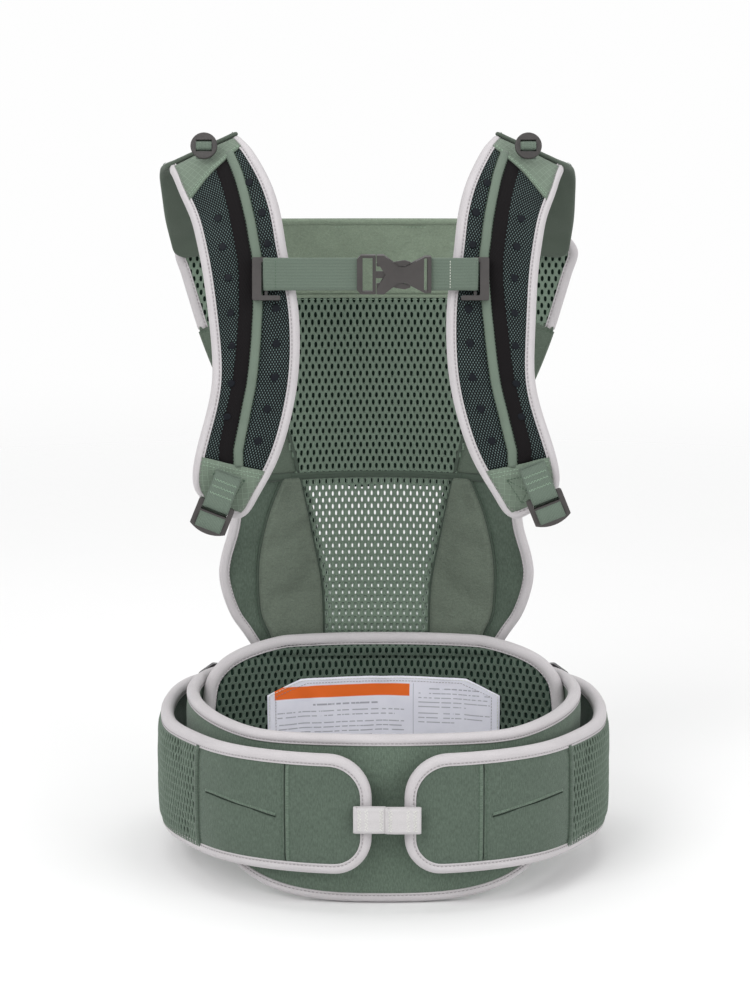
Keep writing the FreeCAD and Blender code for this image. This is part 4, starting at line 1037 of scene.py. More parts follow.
class BeltHalf:
    def __init__(self, side, tag):
        self.side, self.tag, self.wing = side, tag, "wing_" + tag
        self.plan = RisingPlan([(side * x, y) for x, y in WING_CURVE])
        self.end = self.plan.front_station(y=-60, half_x=WING_END_X[tag])
        self.seam = self.plan.front_station(y=-60, half_x=78)
        self.pocket = (self.plan.front_station(y=-30, half_x=144), self.seam - 6)
        self.hip = (self.plan.first(lambda x, y: np.abs(x) > 128),
                    self.plan.front_station(y=-20, half_x=150))
        # where a bend between the rear and the wing would start and end, in metres; attach does not
        # bend the piece, it only bakes its transform
        self.bend = ("root", self.wing, (side * 0.1785, (-8 + DEPTH) * MM, 0.07),
                     (side * 0.130, (-90 + DEPTH) * MM, 0.07))

    def pocket_height(self, s):
        start, end = self.pocket
        return 79.0 - 9.0 * np.clip((s - start) / (end - start), 0, 1) ** 1.4

    def build(self):
        self.padding()
        self.binding()
        self.front_seam()
        self.hip_mesh()
        self.closing_tape()

    def padding(self):
        us = np.linspace(0, self.end - 1.8, int(self.end / 5.5))
        rows = np.linspace(-1, 1, 17)
        to_end = self.end - 1.8 - us
        high = BELT_TOP - BELT_INSET - corner_inset(to_end, WING_TOP_RADIUS)
        low = BELT_LOW + BELT_INSET + corner_inset(to_end, WING_LOW_RADIUS)
        U = us[:, None]
        Z = low[:, None] + (high - low)[:, None] * (rows[None] + 1) / 2
        start, end = self.pocket
        above = Z - self.pocket_height(U)
        in_pocket = 1 / (1 + np.exp(-(U - start - 2) / 2.0)) / (1 + np.exp((U - end) / 2.0))
        press = -1.7 * hump(U - self.seam, 3.2)
        press = press + in_pocket * (1.1 * hump(above - 3.2, 3.0) - 1.3 * hump(above + 2.2, 2.2))
        belt, self.surf = pad(
            "outer_belt_" + self.tag, self.plan.at(U, Z, 3.6)[0], self.plan.at(U, Z, 11.4)[0],
            U, Z, KNIT, swell=3.4, rows=us, cols=rows, seed=3 + self.side, wrinkle=0.8,
            press=press, pin=2)
        belt.data.materials.append(KNIT_INNER)
        belt.data.materials.append(SHADE_BACKING)
        # inner face in inner knit, and the dark backing under the hip mesh, painted shade for its
        # holes
        index = np.zeros(len(belt.data.polygons), np.int32)
        count = (len(us) - 1) * 16
        index[count:2 * count] = 1
        column = np.repeat((us[:-1] > self.hip[0] + 2) & (us[1:] < self.hip[1] - 2), 16)
        row = np.tile(np.arange(16), len(us) - 1)
        index[:count][column & (row > 0) & (row < 15)] = 2
        belt.data.polygons.foreach_set("material_index", index)
        attach(belt, None, "belt_wing_" + self.tag, "belt_back", slot="knit_green",
               blend=self.bend)

    def binding(self):
        """Along the top edge, round the wing end and back along the bottom edge."""

        def outline(inset):
            end, top, low = self.end - inset, BELT_TOP - inset, BELT_LOW + inset
            path = round_path([(0, top), (end, top), (end, low), (0, low)],
                              [WING_TOP_RADIUS - inset, WING_LOW_RADIUS - inset])
            return path[:, 0], path[:, 1]

        edge, inner = outline(0), outline(STITCH_INSET)
        parts = [tube(*self.plan.at(*edge, 7.5), binding_profile(9.0, 4.9), BINDING, self.side),
                 stitches(*self.plan.at(*inner, 2.3), THREAD_GRAY)]
        p, n = self.plan.at(*inner, 12.7)
        parts.append(stitches(p, -n, THREAD_GRAY))
        attach(join(parts, "outer_belt_binding_" + self.tag), None,
               "wing_binding_" + self.tag, "belt_back_binding", slot="binding_gray",
               blend=self.bend)

    def front_seam(self):
        """Seam with a row of stitches either side, and a pocket edge, each with a lighter lip painted
        as highlight and a dark line painted as shadow.
        """
        at, rows = self.surf.at, BELT_ROWS
        parts = [stitches(*at(self.seam + off, rows, 0.1), THREAD_GREEN, FINE_STITCH)
                 for off in (-3.4, 3.4)]
        # fold lip in the lighter knit: painted highlight; the dark line beside it is painted shadow
        # in the crease
        parts.append(welt(*at(self.seam + 1.4, rows, 0.0), KNIT_BELT_AND_LIP_HIGHLIGHT, 1.7, 0.8))
        parts.append(welt(*at(self.seam - 0.9, rows, 0.1), SEAM_SHADOW_LINE, 0.5, 0.4))
        s = np.linspace(self.pocket[0] + 2, self.pocket[1] - 2, 40)
        z = self.pocket_height(s)
        # pocket lip in the lighter knit: painted highlight; the dark line under it is painted shadow
        # in the slit
        parts.append(welt(*at(s, (z - BELT_MID) / BELT_PAD_HALF, -0.2), KNIT_BELT_AND_LIP_HIGHLIGHT, 1.3, 1.0))
        parts.append(welt(*at(s, (z - 1.9 - BELT_MID) / BELT_PAD_HALF, 0.35), SEAM_SHADOW_LINE,
                          0.55, 0.4))
        attach(join(parts, "belt_front_seam_" + self.tag), self.wing)

    def hip_mesh(self):
        """Open mesh over the hip, from behind the side round to the front."""

        def on_hip(u, v, h):
            return self.surf.at(u, (v - BELT_MID) / BELT_PAD_HALF, h + 1.35)[0]

        mesh = spacer_mesh("hip_mesh_" + self.tag, on_hip,
                           (*self.hip, BELT_LOW + 6, BELT_TOP - 6), MESH_HIP,
                           pitch=(5.2, 6.3), hole=(1.5, 2.95), thick=1.2, ridge=0.5)
        attach(mesh, "root", slot="spacer_mesh_green")
        parts = []
        for s, inward in zip(self.hip, (1, -1)):
            edge = self.surf.at(s - inward * 0.5, BELT_ROWS * 0.93, 0.5)
            parts.append(welt(*edge, KNIT, 2.6, 1.7))
            row = self.surf.at(s - inward * 4.4, BELT_ROWS, 0.15)
            parts.append(stitches(*row, THREAD_GREEN, FINE_STITCH))
        attach(join(parts, "hip_mesh_seam_" + self.tag), "root")

    def closing_tape(self):
        """A flat doubled loop sewn to the wing end."""
        outer_x, inner_x, y = CLOSING_TAPE[self.tag]
        x0, x1 = sorted((outer_x, inner_x))
        gap = 1.25
        angle = np.linspace(math.pi / 2, -math.pi / 2, 9)
        bulge = 0.35 * np.sin(np.linspace(0, math.pi, 18))
        front = np.stack([np.linspace(x0 + 2, x1 - 2, 18), np.full(18, y - gap - 0.3) - bulge], 1)
        right = np.stack([x1 - 2 + 1.9 * np.cos(angle[::-1]), y + gap * np.sin(angle[::-1])], 1)
        back = np.stack([np.linspace(x1 - 2, x0 + 2, 18), np.full(18, y + gap)], 1)
        left = np.stack([x0 + 2 - 1.9 * np.cos(angle), y + gap * np.sin(angle)], 1)
        loop = resample(np.r_[front, right, back, left, front[:2]], 1.2)
        path = np.c_[loop, np.full(len(loop), CLOSING_TAPE_Z)]
        parts = [strip(path, facing(path, (0, 0, 1.0)), 10.5, 0.9, GRAY_TAPE, columns=9)]
        z = np.linspace(CLOSING_TAPE_Z - 8.5, CLOSING_TAPE_Z + 8.5, 15)
        sewn = outer_x - self.side * 4.5
        for x in (sewn, sewn - self.side * 5.5, inner_x + self.side * 4.0):
            row = np.stack([x + 1.3 * zigzag(15), np.full(15, y - gap - 0.95), z], 1)
            parts.append(front_stitches(resample(row, 0.7), THREAD_WHITE, ZIGZAG_STITCH))
        attach(join(parts, "closing_tape_" + self.tag), self.wing,
               "closure_tab_" + self.tag, slot="tape_gray")


def belt_rear_seam():
    """Taped and stitched seam where the two halves meet at the rear."""
    plan = RisingPlan(WING_CURVE)
    z = np.linspace(BELT_LOW + 2, BELT_TOP - 2, 40)
    p, n = plan.at(0.05, z, -0.6)
    parts = [strip(p, n, 8.0, 1.0, GRAY_TAPE, columns=7)]
    for dx in (-6.2, 6.2):
        parts.append(stitches(p + np.array([dx, 0, 0]) + n * 0.55, n, THREAD_GRAY, TAPE_STITCH))
    p, n = plan.at(0.05, z, 15.2)
    parts.append(strip(p, -n, 8.0, 1.0, GRAY_TAPE, columns=7))
    attach(join(parts, "belt_rear_seam"), "root")


for side, tag in SIDES:
    BeltHalf(side, tag).build()
belt_rear_seam()

# =====================================================================
# inner belt, open at the rear
# =====================================================================
# x, y of the right half from its rear end to the front middle
LUMBAR_CURVE = [
    (133, 120), (147, 108), (158, 88), (164, 56), (161, 18), (150, -20), (128, -62),
    (100, -91), (60, -103), (0, -107),
]
LUMBAR_TOP = 137.5


def inner_belt():
    plan = Plan(LUMBAR_CURVE + [(-x, y) for x, y in reversed(LUMBAR_CURVE[:-1])])
    length = plan.s[-1]

    def low_edge(s):
        x = np.interp(s, plan.s, plan.p[:, 0])
        y = np.interp(s, plan.s, plan.p[:, 1])
        return 22.0 * np.where(y < -20, np.clip(np.abs(x) / 124, 0, 1), 1.0) ** 3.2

    us = np.linspace(2, length - 2, int(length / 5.5))
    rows = np.linspace(0, 1, 21)
    low = low_edge(us) + 1.8
    U = us[:, None]
    Z = low[:, None] + (LUMBAR_TOP - 1.9 - low)[:, None] * rows[None]
    belt, _ = pad("inner_belt", plan.at(U, Z, 3.2)[0], plan.at(U, Z, 10.6)[0], U, Z, KNIT_BELT_AND_LIP_HIGHLIGHT,
                  swell=3.2, rows=us, cols=rows, seed=21, wrinkle=1.0, pin=2)
    attach(belt, "root", "lumbar_belt", slot="knit_green")

    ends = (3, length - 3)
    edge = round_path([(ends[0], 60), (ends[0], LUMBAR_TOP), (ends[1], LUMBAR_TOP),
                       (ends[1], 60)], [14, 14])
    parts = [tube(*plan.at(edge[:, 0], edge[:, 1], 6.9), binding_profile(8.5, 4.7), BINDING)]
    row = (np.clip(edge[:, 0], 10, length - 10), np.minimum(edge[:, 1], LUMBAR_TOP - 6.5))
    parts.append(stitches(*plan.at(*row, 1.9), THREAD_GRAY))
    p, n = plan.at(*row, 11.9)
    parts.append(stitches(p, -n, THREAD_GRAY))
    s = np.linspace(*ends, int(length / 3))
    parts.append(tube(*plan.at(s, low_edge(s) + 0.6, 6.9), binding_profile(8.0, 4.7), BINDING,
                      side=-1))
    parts.append(stitches(*plan.at(s, low_edge(s) + 6.9, 1.9), THREAD_GRAY))
    attach(join(parts, "inner_belt_binding"), "root", "lumbar_binding", slot="binding_gray")


inner_belt()


# =====================================================================
# waist panel with its mesh front, label and binding
# =====================================================================
def toward_front(surface, a, b, h):
    """surface(a, b) pushed h along its numeric normal on the -Y side."""
    a, b = np.broadcast_arrays(np.asarray(a, float), np.asarray(b, float))
    e = 0.6
    n = unit(np.cross(surface(a + e, b) - surface(a - e, b), surface(a, b + e) - surface(a, b - e)))
    sign = np.sign(-n[..., 1:2])
    n = n * np.where(sign == 0, 1, sign)
    return surface(a, b) + n * np.asarray(h, float)[..., None], n


def waist_pt(x, z, h):
    """h is measured from the panel's front face, towards the closing side."""
    return toward_front(lambda a, b: np.stack(
        [a, 116.0 - 42.0 * (np.abs(a) / 150.0) ** 2.3 - 13.0, b], -1), x, z, h)


# z, half width of the bound edge
WAIST_HALF = curve([(0, 138), (60, 144), (100, 147.5), (112, 147), (136, 143), (150, 132),
                    (158, 117), (163, 99), (166, 82)])


def waist_pad_half(z):
    """Half width of the padding, inside the bound edge."""
    return (WAIST_HALF(z) - 2.6 - 5.0 * np.clip((z - 150) / 12, 0, 1)
            - 9.0 * np.clip((z - 157) / 5.6, 0, 1))


def waist_outline():
    """(x, z) of the bound edge, from the left foot over the top to the right foot."""
    heights = [*np.linspace(10, 150, 30), 152, 154, 156, 158, 160, 161.5, 163, 164.2, 165.2, 165.8]
    left = np.array([(-138.0, 4.0)] + [(-WAIST_HALF(z), z) for z in heights] + [(-80, 166.0)])
    edge = resample(np.r_[left, left[::-1] * np.array([-1, 1])], 1.0)
    return resample(relax(edge, 14), 3.0)


def waist_padding():
    across = np.linspace(-1, 1, 57)
    zs = np.r_[np.linspace(1.5, 128, 22), np.linspace(132, 162.6, 12)]
    X = across[:, None] * waist_pad_half(zs)[None]
    Z = zs[None] + 0 * X
    groove = 144 + 7.0 * (X / 107.0) ** 2
    within = 1 / (1 + np.exp((np.abs(X) - 118) / 5))
    # a groove with a roll above it
    press = (-3.0 * hump(Z - groove, 2.6) * within + 1.6 * hump(Z - groove - 10, 6.5) * within)
    # front face in the dark backing, painted shade behind the waist mesh holes; rear face in inner
    # knit
    panel, surf = pad("waist_panel", waist_pt(X, Z, -3.0)[0], waist_pt(X, Z, -10.2)[0], X, Z,
                      SHADE_BACKING, swell=3.2, rows=across, cols=zs, seed=31, wrinkle=0.6,
                      press=press, pin=2)
    panel.data.materials.append(KNIT_INNER)
    index = np.zeros(len(panel.data.polygons), np.int32)
    count = (len(across) - 1) * (len(zs) - 1)
    index[count:2 * count] = 1  # rear face
    panel.data.polygons.foreach_set("material_index", index)
    attach(panel, "root", "waist_panel", slot="knit_green")
    return surf


waist_surf = waist_padding()
waist_edge = waist_outline()


def on_waist(x, z, h):
    return waist_surf.at(x / waist_pad_half(z), z, h)


def rim_distance(x, z):
    """How far a point of the panel lies inside its bound edge."""
    nearest = np.full(len(x), 1e9)
    for ex, ez in waist_edge[::2]:
        nearest = np.minimum(nearest, (x - ex) ** 2 + (z - ez) ** 2)
    return np.sqrt(nearest)


def waist_mesh():
    def surface(u, v, h):
        """The mesh sinks into the binding at its rim."""
        t = smoothstep(np.clip((rim_distance(u, v) - 6.0) / 9.0, 0, 1))
        return on_waist(u, v, (h + 1.7) * (0.15 + 0.85 * t) - 1.3 * (1 - t))[0]

    def cut(u, v):
        return (rim_distance(u, v) > 6.1) & (np.abs(u) + 2.8 < waist_pad_half(v + 2.8) + 0.6)

    mesh = spacer_mesh("waist_mesh", surface, (-146, 146, 6, 161), MESH_SHADED, cut,
                       pitch=(5.3, 6.2), hole=(1.25, 2.75), thick=1.9, ridge=0.5)
    attach(mesh, "root", slot="spacer_mesh_green")


def waist_binding():
    x, z = waist_edge.T
    parts = [tube(*waist_pt(x, z, -6.6), binding_profile(9.4, 5.0), BINDING, side=-1)]
    x, z = (waist_edge + right_of(waist_edge) * 7.6).T
    parts.append(stitches(*waist_pt(x, z, -1.3), THREAD_GRAY))
    p, n = waist_pt(x, z, -11.9)
    parts.append(stitches(p, -n, THREAD_GRAY))
    attach(join(parts, "waist_panel_binding"), "root", "waist_binding", slot="binding_gray")


def care_label():
    """Blank satin with an orange band, sewn all round."""
    base = 69.0
    zs = np.linspace(base, base + 60, 26)
    half = np.where(zs > base + 48, 98 - 28 * (zs - base - 48) / 12, 98)
    X = np.linspace(-1, 1, 60)[:, None] * half[None]
    Z = zs[None] + 0 * X
    ripple = 0.35 * value_noise(np.stack([X, Z, 0 * X], -1), 17, 4)
    parts = [slab("care_label_blank", on_waist(X, Z, 2.9 + ripple)[0],
                  on_waist(X, Z, 2.2 + ripple)[0], X, Z - base, LABEL)]
    outline = np.array([(-96.5, 1.5), (96.5, 1.5), (96.5, 47.6), (69.5, 58.4), (-69.5, 58.4),
                        (-96.5, 47.6), (-96.5, 1.5)]) + np.array([0, base])
    inset = 2.6
    middle = np.array([0, base + 30.0])
    inner = resample(outline * np.array([1 - inset / 96, 1]), 1.5)
    inner = middle + (inner - middle) * np.array([1 - inset / 96.5, 1 - inset / 29.0])
    for row, mat, radius in ((resample(outline, 1.5), THREAD_WHITE, 0.26),
                             (inner, THREAD_GRAY, 0.2)):
        parts.append(stitches(*on_waist(row[:, 0], row[:, 1], 3.2), mat, (2.6, 2.0, radius)))
    attach(join(parts, "care_label_blank"), "root", "care_label", slot="label_satin")


waist_mesh()
waist_binding()
care_label()

# =====================================================================
# back panel: from here on everything stands RISE higher than its table
# =====================================================================
origin = np.array([0.0, DEPTH, RISE])

PANEL_X = -6.0  # middle of the back panel
BAND_LOW, BAND_HALF = 436.4, 117.5
# half widths by height: the whole panel, its middle mesh and the padded lobes
OUTER = curve([
    (60, 94), (100, 95), (124, 100), (144, 111), (161, 122), (180, 129), (198, 132), (214, 130),
    (239, 123), (263, 120), (288, 115), (322, 116), (350, 125), (384, 138), (410, 147),
    (434, 154), (455, 160), (472, 165), (482, 161), (490, 151), (497, 134), (499, 130),
])
MESH_HALF = curve([(60, 44), (141, 45), (185, 47), (227, 55.6), (268, 64), (316, 74), (348, 87),
                   (400, 96), (436, 102)])
LOBE = curve([(60, 74), (124, 84), (145, 91), (160, 98), (188, 100.7), (213, 99.6), (245, 92.5),
              (272, 82), (278, 79)])
# depth (y) by height, in the middle of the panel and at its edge
DEPTH_MIDDLE = curve([(60, 131), (120, 131), (150, 135), (180, 145), (220, 153), (260, 155),
                      (300, 148), (350, 133), (400, 119), (436, 111), (470, 106), (499, 103)])
DEPTH_EDGE = curve([(60, 125), (120, 124), (144, 121), (180, 117), (214, 115), (263, 117),
                    (322, 116), (384, 104), (436, 99), (499, 98)])


def body_pt(x, z, h):
    """h is measured from the panel's middle thickness, towards the closing side."""

    def surface(a, b):
        middle = DEPTH_MIDDLE(b)
        bow = np.minimum(1.15, np.abs(a) / OUTER(b)) ** 2.2
        return np.stack([a + PANEL_X, middle - (middle - DEPTH_EDGE(b)) * bow, b], -1)

    return toward_front(surface, x, z, h)


def body_slab(name, X, Z, h_front, h_back):
    # slab in the dark backing, painted shade: used for the mesh cores and the seat allowances seen
    # through the mesh
    return slab(name, body_pt(X, Z, h_front)[0], body_pt(X, Z, h_back)[0], X, Z, SHADE_BACKING)


def panel_mesh(name, node, bounds, cut, lift, mat=MESH, face=1, drop=0.0, **lattice):
    """Spacer mesh on the front (face 1) or rear (-1) of the back panel."""
    mesh = spacer_mesh(name, lambda u, v, h: body_pt(u, v - drop, face * (h + lift))[0],
                       bounds, mat, cut, **lattice)
    attach(mesh, "root", node, slot="spacer_mesh_green")


def cloth_panel(name, side, z0, z1, lo, hi, h_front, h_back, mat, swell, seed, wrinkle,
                columns=13, step=7.0, slot="knit_green", press=None):
    """Padded piece between half widths lo(z) and hi(z), mirrored for side -1."""
    zs = np.linspace(z0, z1, int((z1 - z0) / step))
    across = np.linspace(0, 1, columns)
    a, b = lo(zs), hi(zs)
    if side < 0:
        a, b = -b, -a
    X = a[:, None] + (b - a)[:, None] * across[None]
    Z = zs[:, None] + 0 * X
    ob, _ = pad(name, body_pt(X, Z, h_front)[0], body_pt(X, Z, -h_back)[0], X, Z, mat, swell,
                zs, across, seed, wrinkle, press=press(X, Z) if press else None)
    attach(ob, "root", name, slot=slot)


def seam(xs, zs, h, fold, thread, side=1, offset=2.6, w=1.6, height=1.1, back=True):
    """Welt with a stitch row on its right (side 1) or left, and a welt behind."""
    path = resample(np.stack(np.broadcast_arrays(xs, zs), 1), 2.5)
    x, z = path.T
    parts = [welt(*body_pt(x, z, h), fold, w, height)]
    row = path + right_of(path) * offset * side
    parts.append(stitches(*body_pt(row[:, 0], row[:, 1], h + 0.5), thread, PANEL_STITCH))
    if back:
        parts.append(welt(*body_pt(x, z, -h), fold, w, height))
    return parts


def within_mesh(u, v):
    return np.abs(u) < MESH_HALF(v) + 1.5


def upper_mesh():
    """Open spacer mesh on both faces over a dark core, whose dark colour is painted shade in the
    holes.
    """
    zs = np.linspace(276, 438, 24)
    X = np.linspace(-1, 1, 21)[None] * (MESH_HALF(zs) + 1.5)[:, None]
    attach(body_slab("back_mesh_core", X, zs[:, None], 0.35, -0.35), "root", "back_mesh")
    for name, face, ridge in (("back_mesh_front", 1, 0.75), ("back_mesh_rear", -1, 0.6)):
        panel_mesh(name, "back_mesh", (-106, 106, 276, 438), within_mesh, lift=2.6, face=face,
                   pitch=(5.3, 6.4), hole=(1.12, 2.75), thick=2.0, ridge=ridge)


def seat_mesh():
    """Mesh below, open right through, with seam allowances behind its top and sides."""
    bounds = (-70, 70, 62, 280)
    panel_mesh("seat_mesh_front", "seat_mesh", bounds, within_mesh, lift=2.2,
               hole=(1.25, 2.5), thick=1.3, ridge=0.6)
    # pale layer between the faces: painted light, the rear layer lit through the slots; its slots
    # open wider towards the top
    panel_mesh("seat_mesh_painted_light_fill", "seat_mesh", bounds, within_mesh, lift=0.3, mat=LIT_SLOT_FILL,
               drop=0.5, hole=(0.72, 2.1), thick=0.6, ridge=0.1,
               size=lambda u, v: np.clip(0.2 + 0.8 * (v - 120) / 125, 0.2, 1.0))
    panel_mesh("seat_mesh_rear", "seat_mesh", bounds, within_mesh, lift=2.2, face=-1,
               drop=0.9, hole=(1.4, 2.4), thick=1.2, ridge=0.3)
    zs = np.linspace(62, 279, 40)
    across = np.linspace(0, 1, 4)[None]
    parts = []
    for side in (-1, 1):
        X = side * (MESH_HALF(zs)[:, None] - 6.5 + 8.0 * across)
        parts.append(body_slab("allowance", X, zs[:, None], -0.75, -1.45))
    fx = np.linspace(-1, 1, 31)
    low = 266.5 + 3.0 * np.abs(fx) ** 2 + 1.2 * np.sin(fx * 7)
    Z = low[:, None] + (279 - low)[:, None] * across
    X = fx[:, None] * (MESH_HALF(Z) - 0.5)
    parts.append(body_slab("allowance", X, Z, -0.55, -0.72))
    attach(join(parts, "seat_mesh_allowance"), "root")


def head_band():
    def crinkle(X, Z):
        q = np.stack([X * 0.9, Z * 0, Z * 1.5], -1)
        folds = (value_noise(q, 13, 77) * 0.9
                 + value_noise(q * np.array([1, 1, 0.6]), 7, 78) * 0.5)
        return folds * np.clip((499 - Z) / 8, 0, 1) * np.clip((Z - 436) / 8, 0, 1)

    cloth_panel("head_band", 1, BAND_LOW, 498.6, lambda z: 0 * z - BAND_HALF,
                lambda z: 0 * z + BAND_HALF, 2.4, 2.4, BAND_WEAVE, swell=2.2, seed=40,
                wrinkle=0.6, columns=49, step=3.6, slot="woven_green", press=crinkle)


def side_cloth(side, tag):
    """Upper side panel, padded thigh lobe, and flat cloth out to the leg opening."""
    cloth_panel("side_panel_" + tag, side, 278.5, 436.0, MESH_HALF,
                lambda z: np.where(z > 414, BAND_HALF, OUTER(z) - np.where(z < 312, 6.0, 0.3)),
                2.0, 2.0, SIDE_WEAVE, swell=1.5, seed=50 + side, wrinkle=0.9)
    cloth_panel("side_pad_" + tag, side, 84.5, 277.6, lambda z: MESH_HALF(z) + 0.2,
                lambda z: LOBE(z) - 0.2, 8.2, 2.6, LOBE_WEAVE, swell=3.4, seed=60 + side,
                wrinkle=0.7, step=6.0)
    cloth_panel("leg_edge_" + tag, side, 100.0, 277.8, lambda z: LOBE(z) - 1.0,
                lambda z: OUTER(z) - 5.0, 1.9, 1.9, KNIT, swell=1.1, seed=70 + side,
                wrinkle=0.6, columns=9)


def head_wing(side, tag):
    node = "head_wing_" + tag
    zs = np.linspace(411, 495, 20)
    across = np.linspace(0, 1, 12)
    X = side * (117.6 + (OUTER(zs) - 6 - 117.6)[:, None] * across[None])
    core = body_slab("head_wing_core_" + tag, X, zs[:, None], 0.3, -0.3)
    attach(core, "root", node)

    def cut(u, v):
        return (side * u > 116.5) & (side * u < OUTER(v) - 5) & (v > 411) & (v < 495)

    for where, face in (("front", 1), ("rear", -1)):
        panel_mesh("head_wing_mesh_%s_%s" % (where, tag), node,
                   (*sorted((side * 114, side * 166)), 387, 496), cut, lift=2.3, face=face,
                   thick=1.8)


def panel_bindings(side, tag):
    """Gray edge bindings of the head wing and the leg opening."""
    for name, z0, z1, node in (("head_wing_binding_", 409, 498.4, "wing_edge_binding_"),
                               ("leg_binding_", 100, 311.8, "seat_binding_")):
        zs = np.linspace(z0, z1, 90)
        edge = resample(np.stack([side * OUTER(zs), zs], 1), 3.0)
        parts = [tube(*body_pt(edge[:, 0], edge[:, 1], 0.0), binding_profile(8.2, 3.0), BINDING,
                      side)]
        x, z = (edge - right_of(edge) * side * 6.6).T
        for face in (1, -1):
            p, n = body_pt(x, z, face * 3.3)
            parts.append(stitches(p, n * face, THREAD_GRAY))
        attach(join(parts, name + tag), "root", node + tag, slot="binding_gray")


def panel_seams(side, tag):
    zs = np.linspace(282, 434, 60)
    parts = seam(side * MESH_HALF(zs), zs, 2.4, SEAM_TAPE, THREAD_GREEN, side)
    zs = np.linspace(86, 277, 60)
    parts += seam(side * MESH_HALF(zs), zs, 2.6, SEAM_TAPE, THREAD_GREEN, side)
    zs = zs[6:]
    parts += seam(side * LOBE(zs), zs, 2.3, SEAM_TAPE, THREAD_GREEN, side, w=1.3)
    zs = np.linspace(316, 407, 40)
    parts += seam(side * (OUTER(zs) - 1.3), zs, 1.2, SIDE_WEAVE, THREAD_GREEN, -side,
                  offset=3.4, w=1.5, height=1.0)
    xs = np.linspace(BAND_HALF, OUTER(410.0) - 1.0, 14)
    parts += seam(side * xs, 410.4, 2.3, SIDE_WEAVE, THREAD_GREEN, side, w=1.5)
    parts += seam(side * 117.7, np.linspace(411, 497, 40), 2.5, SIDE_WEAVE, THREAD_LIGHT, -side)
    attach(join(parts, "panel_seams_" + tag), "root")


def cross_seams():
    """Seams across the foot and top of the head band and over the seat mesh."""
    xs = np.linspace(-117, 117, 80)
    parts = seam(xs, 436.2, 2.8, BAND_WEAVE, THREAD_LIGHT)
    parts += seam(xs, 497.8, 1.6, BAND_WEAVE, THREAD_LIGHT, offset=4.0, w=2.4, height=2.2)
    xs = np.linspace(-113, 113, 80)
    parts += seam(xs, 278.2, 2.4, SEAM_TAPE, THREAD_GREEN, -1, offset=1.9, w=3.4, height=1.5)
    parts += seam(xs[14:-14], 279.6, 2.6, SEAM_TAPE, THREAD_LIGHT, offset=0.4, w=2.0,
                  height=1.6, back=False)
    attach(join(parts, "panel_cross_seams"), "root")


upper_mesh()
seat_mesh()
head_band()
for side, tag in SIDES:
    side_cloth(side, tag)
    head_wing(side, tag)
    panel_bindings(side, tag)
    panel_seams(side, tag)
cross_seams()

# =====================================================================
# shoulder straps
# =====================================================================
# x of the line the left strap is mirrored in, by height
MIRROR_X = curve([(300, -6.0), (380, -8.0), (440, -9.0), (480, -10.5), (540, -12.5),
                  (577, -14.5)])
# left strap from the crest down: outer edge x, z; inner edge x, z; y
STRAP = [
    (-170.2, 551.5, -113.6, 578, 10), (-166, 545.5, -107.5, 573.5, -2),
    (-160.6, 534.8, -100.4, 565.2, -14), (-152, 519.8, -89.1, 546.9, -32),
    (-146.1, 502.7, -80.3, 521.3, -45), (-140.5, 476.9, -74.9, 492.4, -55),
    (-136.2, 445.3, -67.9, 460.8, -62), (-133.6, 419.5, -65.3, 427.3, -67),
    (-133.7, 392.7, -67.3, 392.7, -70), (-139.3, 365.6, -74.4, 357.7, -72),
    (-145.7, 342.1, -84.6, 328.7, -73), (-149.1, 318.2, -97.9, 303.9, -73),
    (-144.5, 300.5, -109.4, 281.5, -72),
]
# left yoke from the crest down the rear to the panel corner, same columns
YOKE = [
    (-170.1, 551.3, -113.7, 577.9, 10.4), (-171.6, 550.5, -114.2, 577.5, 12.6),
    (-175, 549, -116, 574.5, 21), (-177.8, 541.5, -118, 565, 34),
    (-177.3, 526.5, -119.5, 549, 47), (-176, 506.3, -122, 526, 61),
    (-173.5, 488, -125, 500, 76), (-170, 468, -127, 473, 89),
]
# z, x of the left strap's piped rail
RAIL = curve([
    (566, -124), (558, -120.9), (539.6, -111.6), (519.3, -104.8), (498.5, -100.4), (484, -97.9),
    (458, -97.5), (422.7, -99.3), (394.2, -102.6), (367.4, -107.9), (341.6, -113.1),
])
# x, z of the dots on the left strap: first the outer row, then the inner row
DOTS = [
    (-128.8, 517.8), (-124.2, 497.2), (-120.4, 474), (-118.8, 447.4), (-117.8, 422.6),
    (-118.5, 393.8), (-121.3, 368.1),
    (-105.2, 544.3), (-94.7, 522.8), (-90.1, 499.6), (-84.1, 451.2), (-83.3, 424.5),
    (-84.6, 398.3), (-90.5, 374), (-97.7, 349.4),
]
DOT_RINGS = [(3.0, 1.2), (3.0, 1.95), (2.6, 2.15), (1.2, 2.1)]  # radius, height
PATCH_INSET = 5.4  # patches stop this far inside the strap edge
LANE_END = 10.2  # station where the strap's lanes meet the end patch


def mirrored(x, z, side):
    return 2 * MIRROR_X(z) - x if side > 0 else x


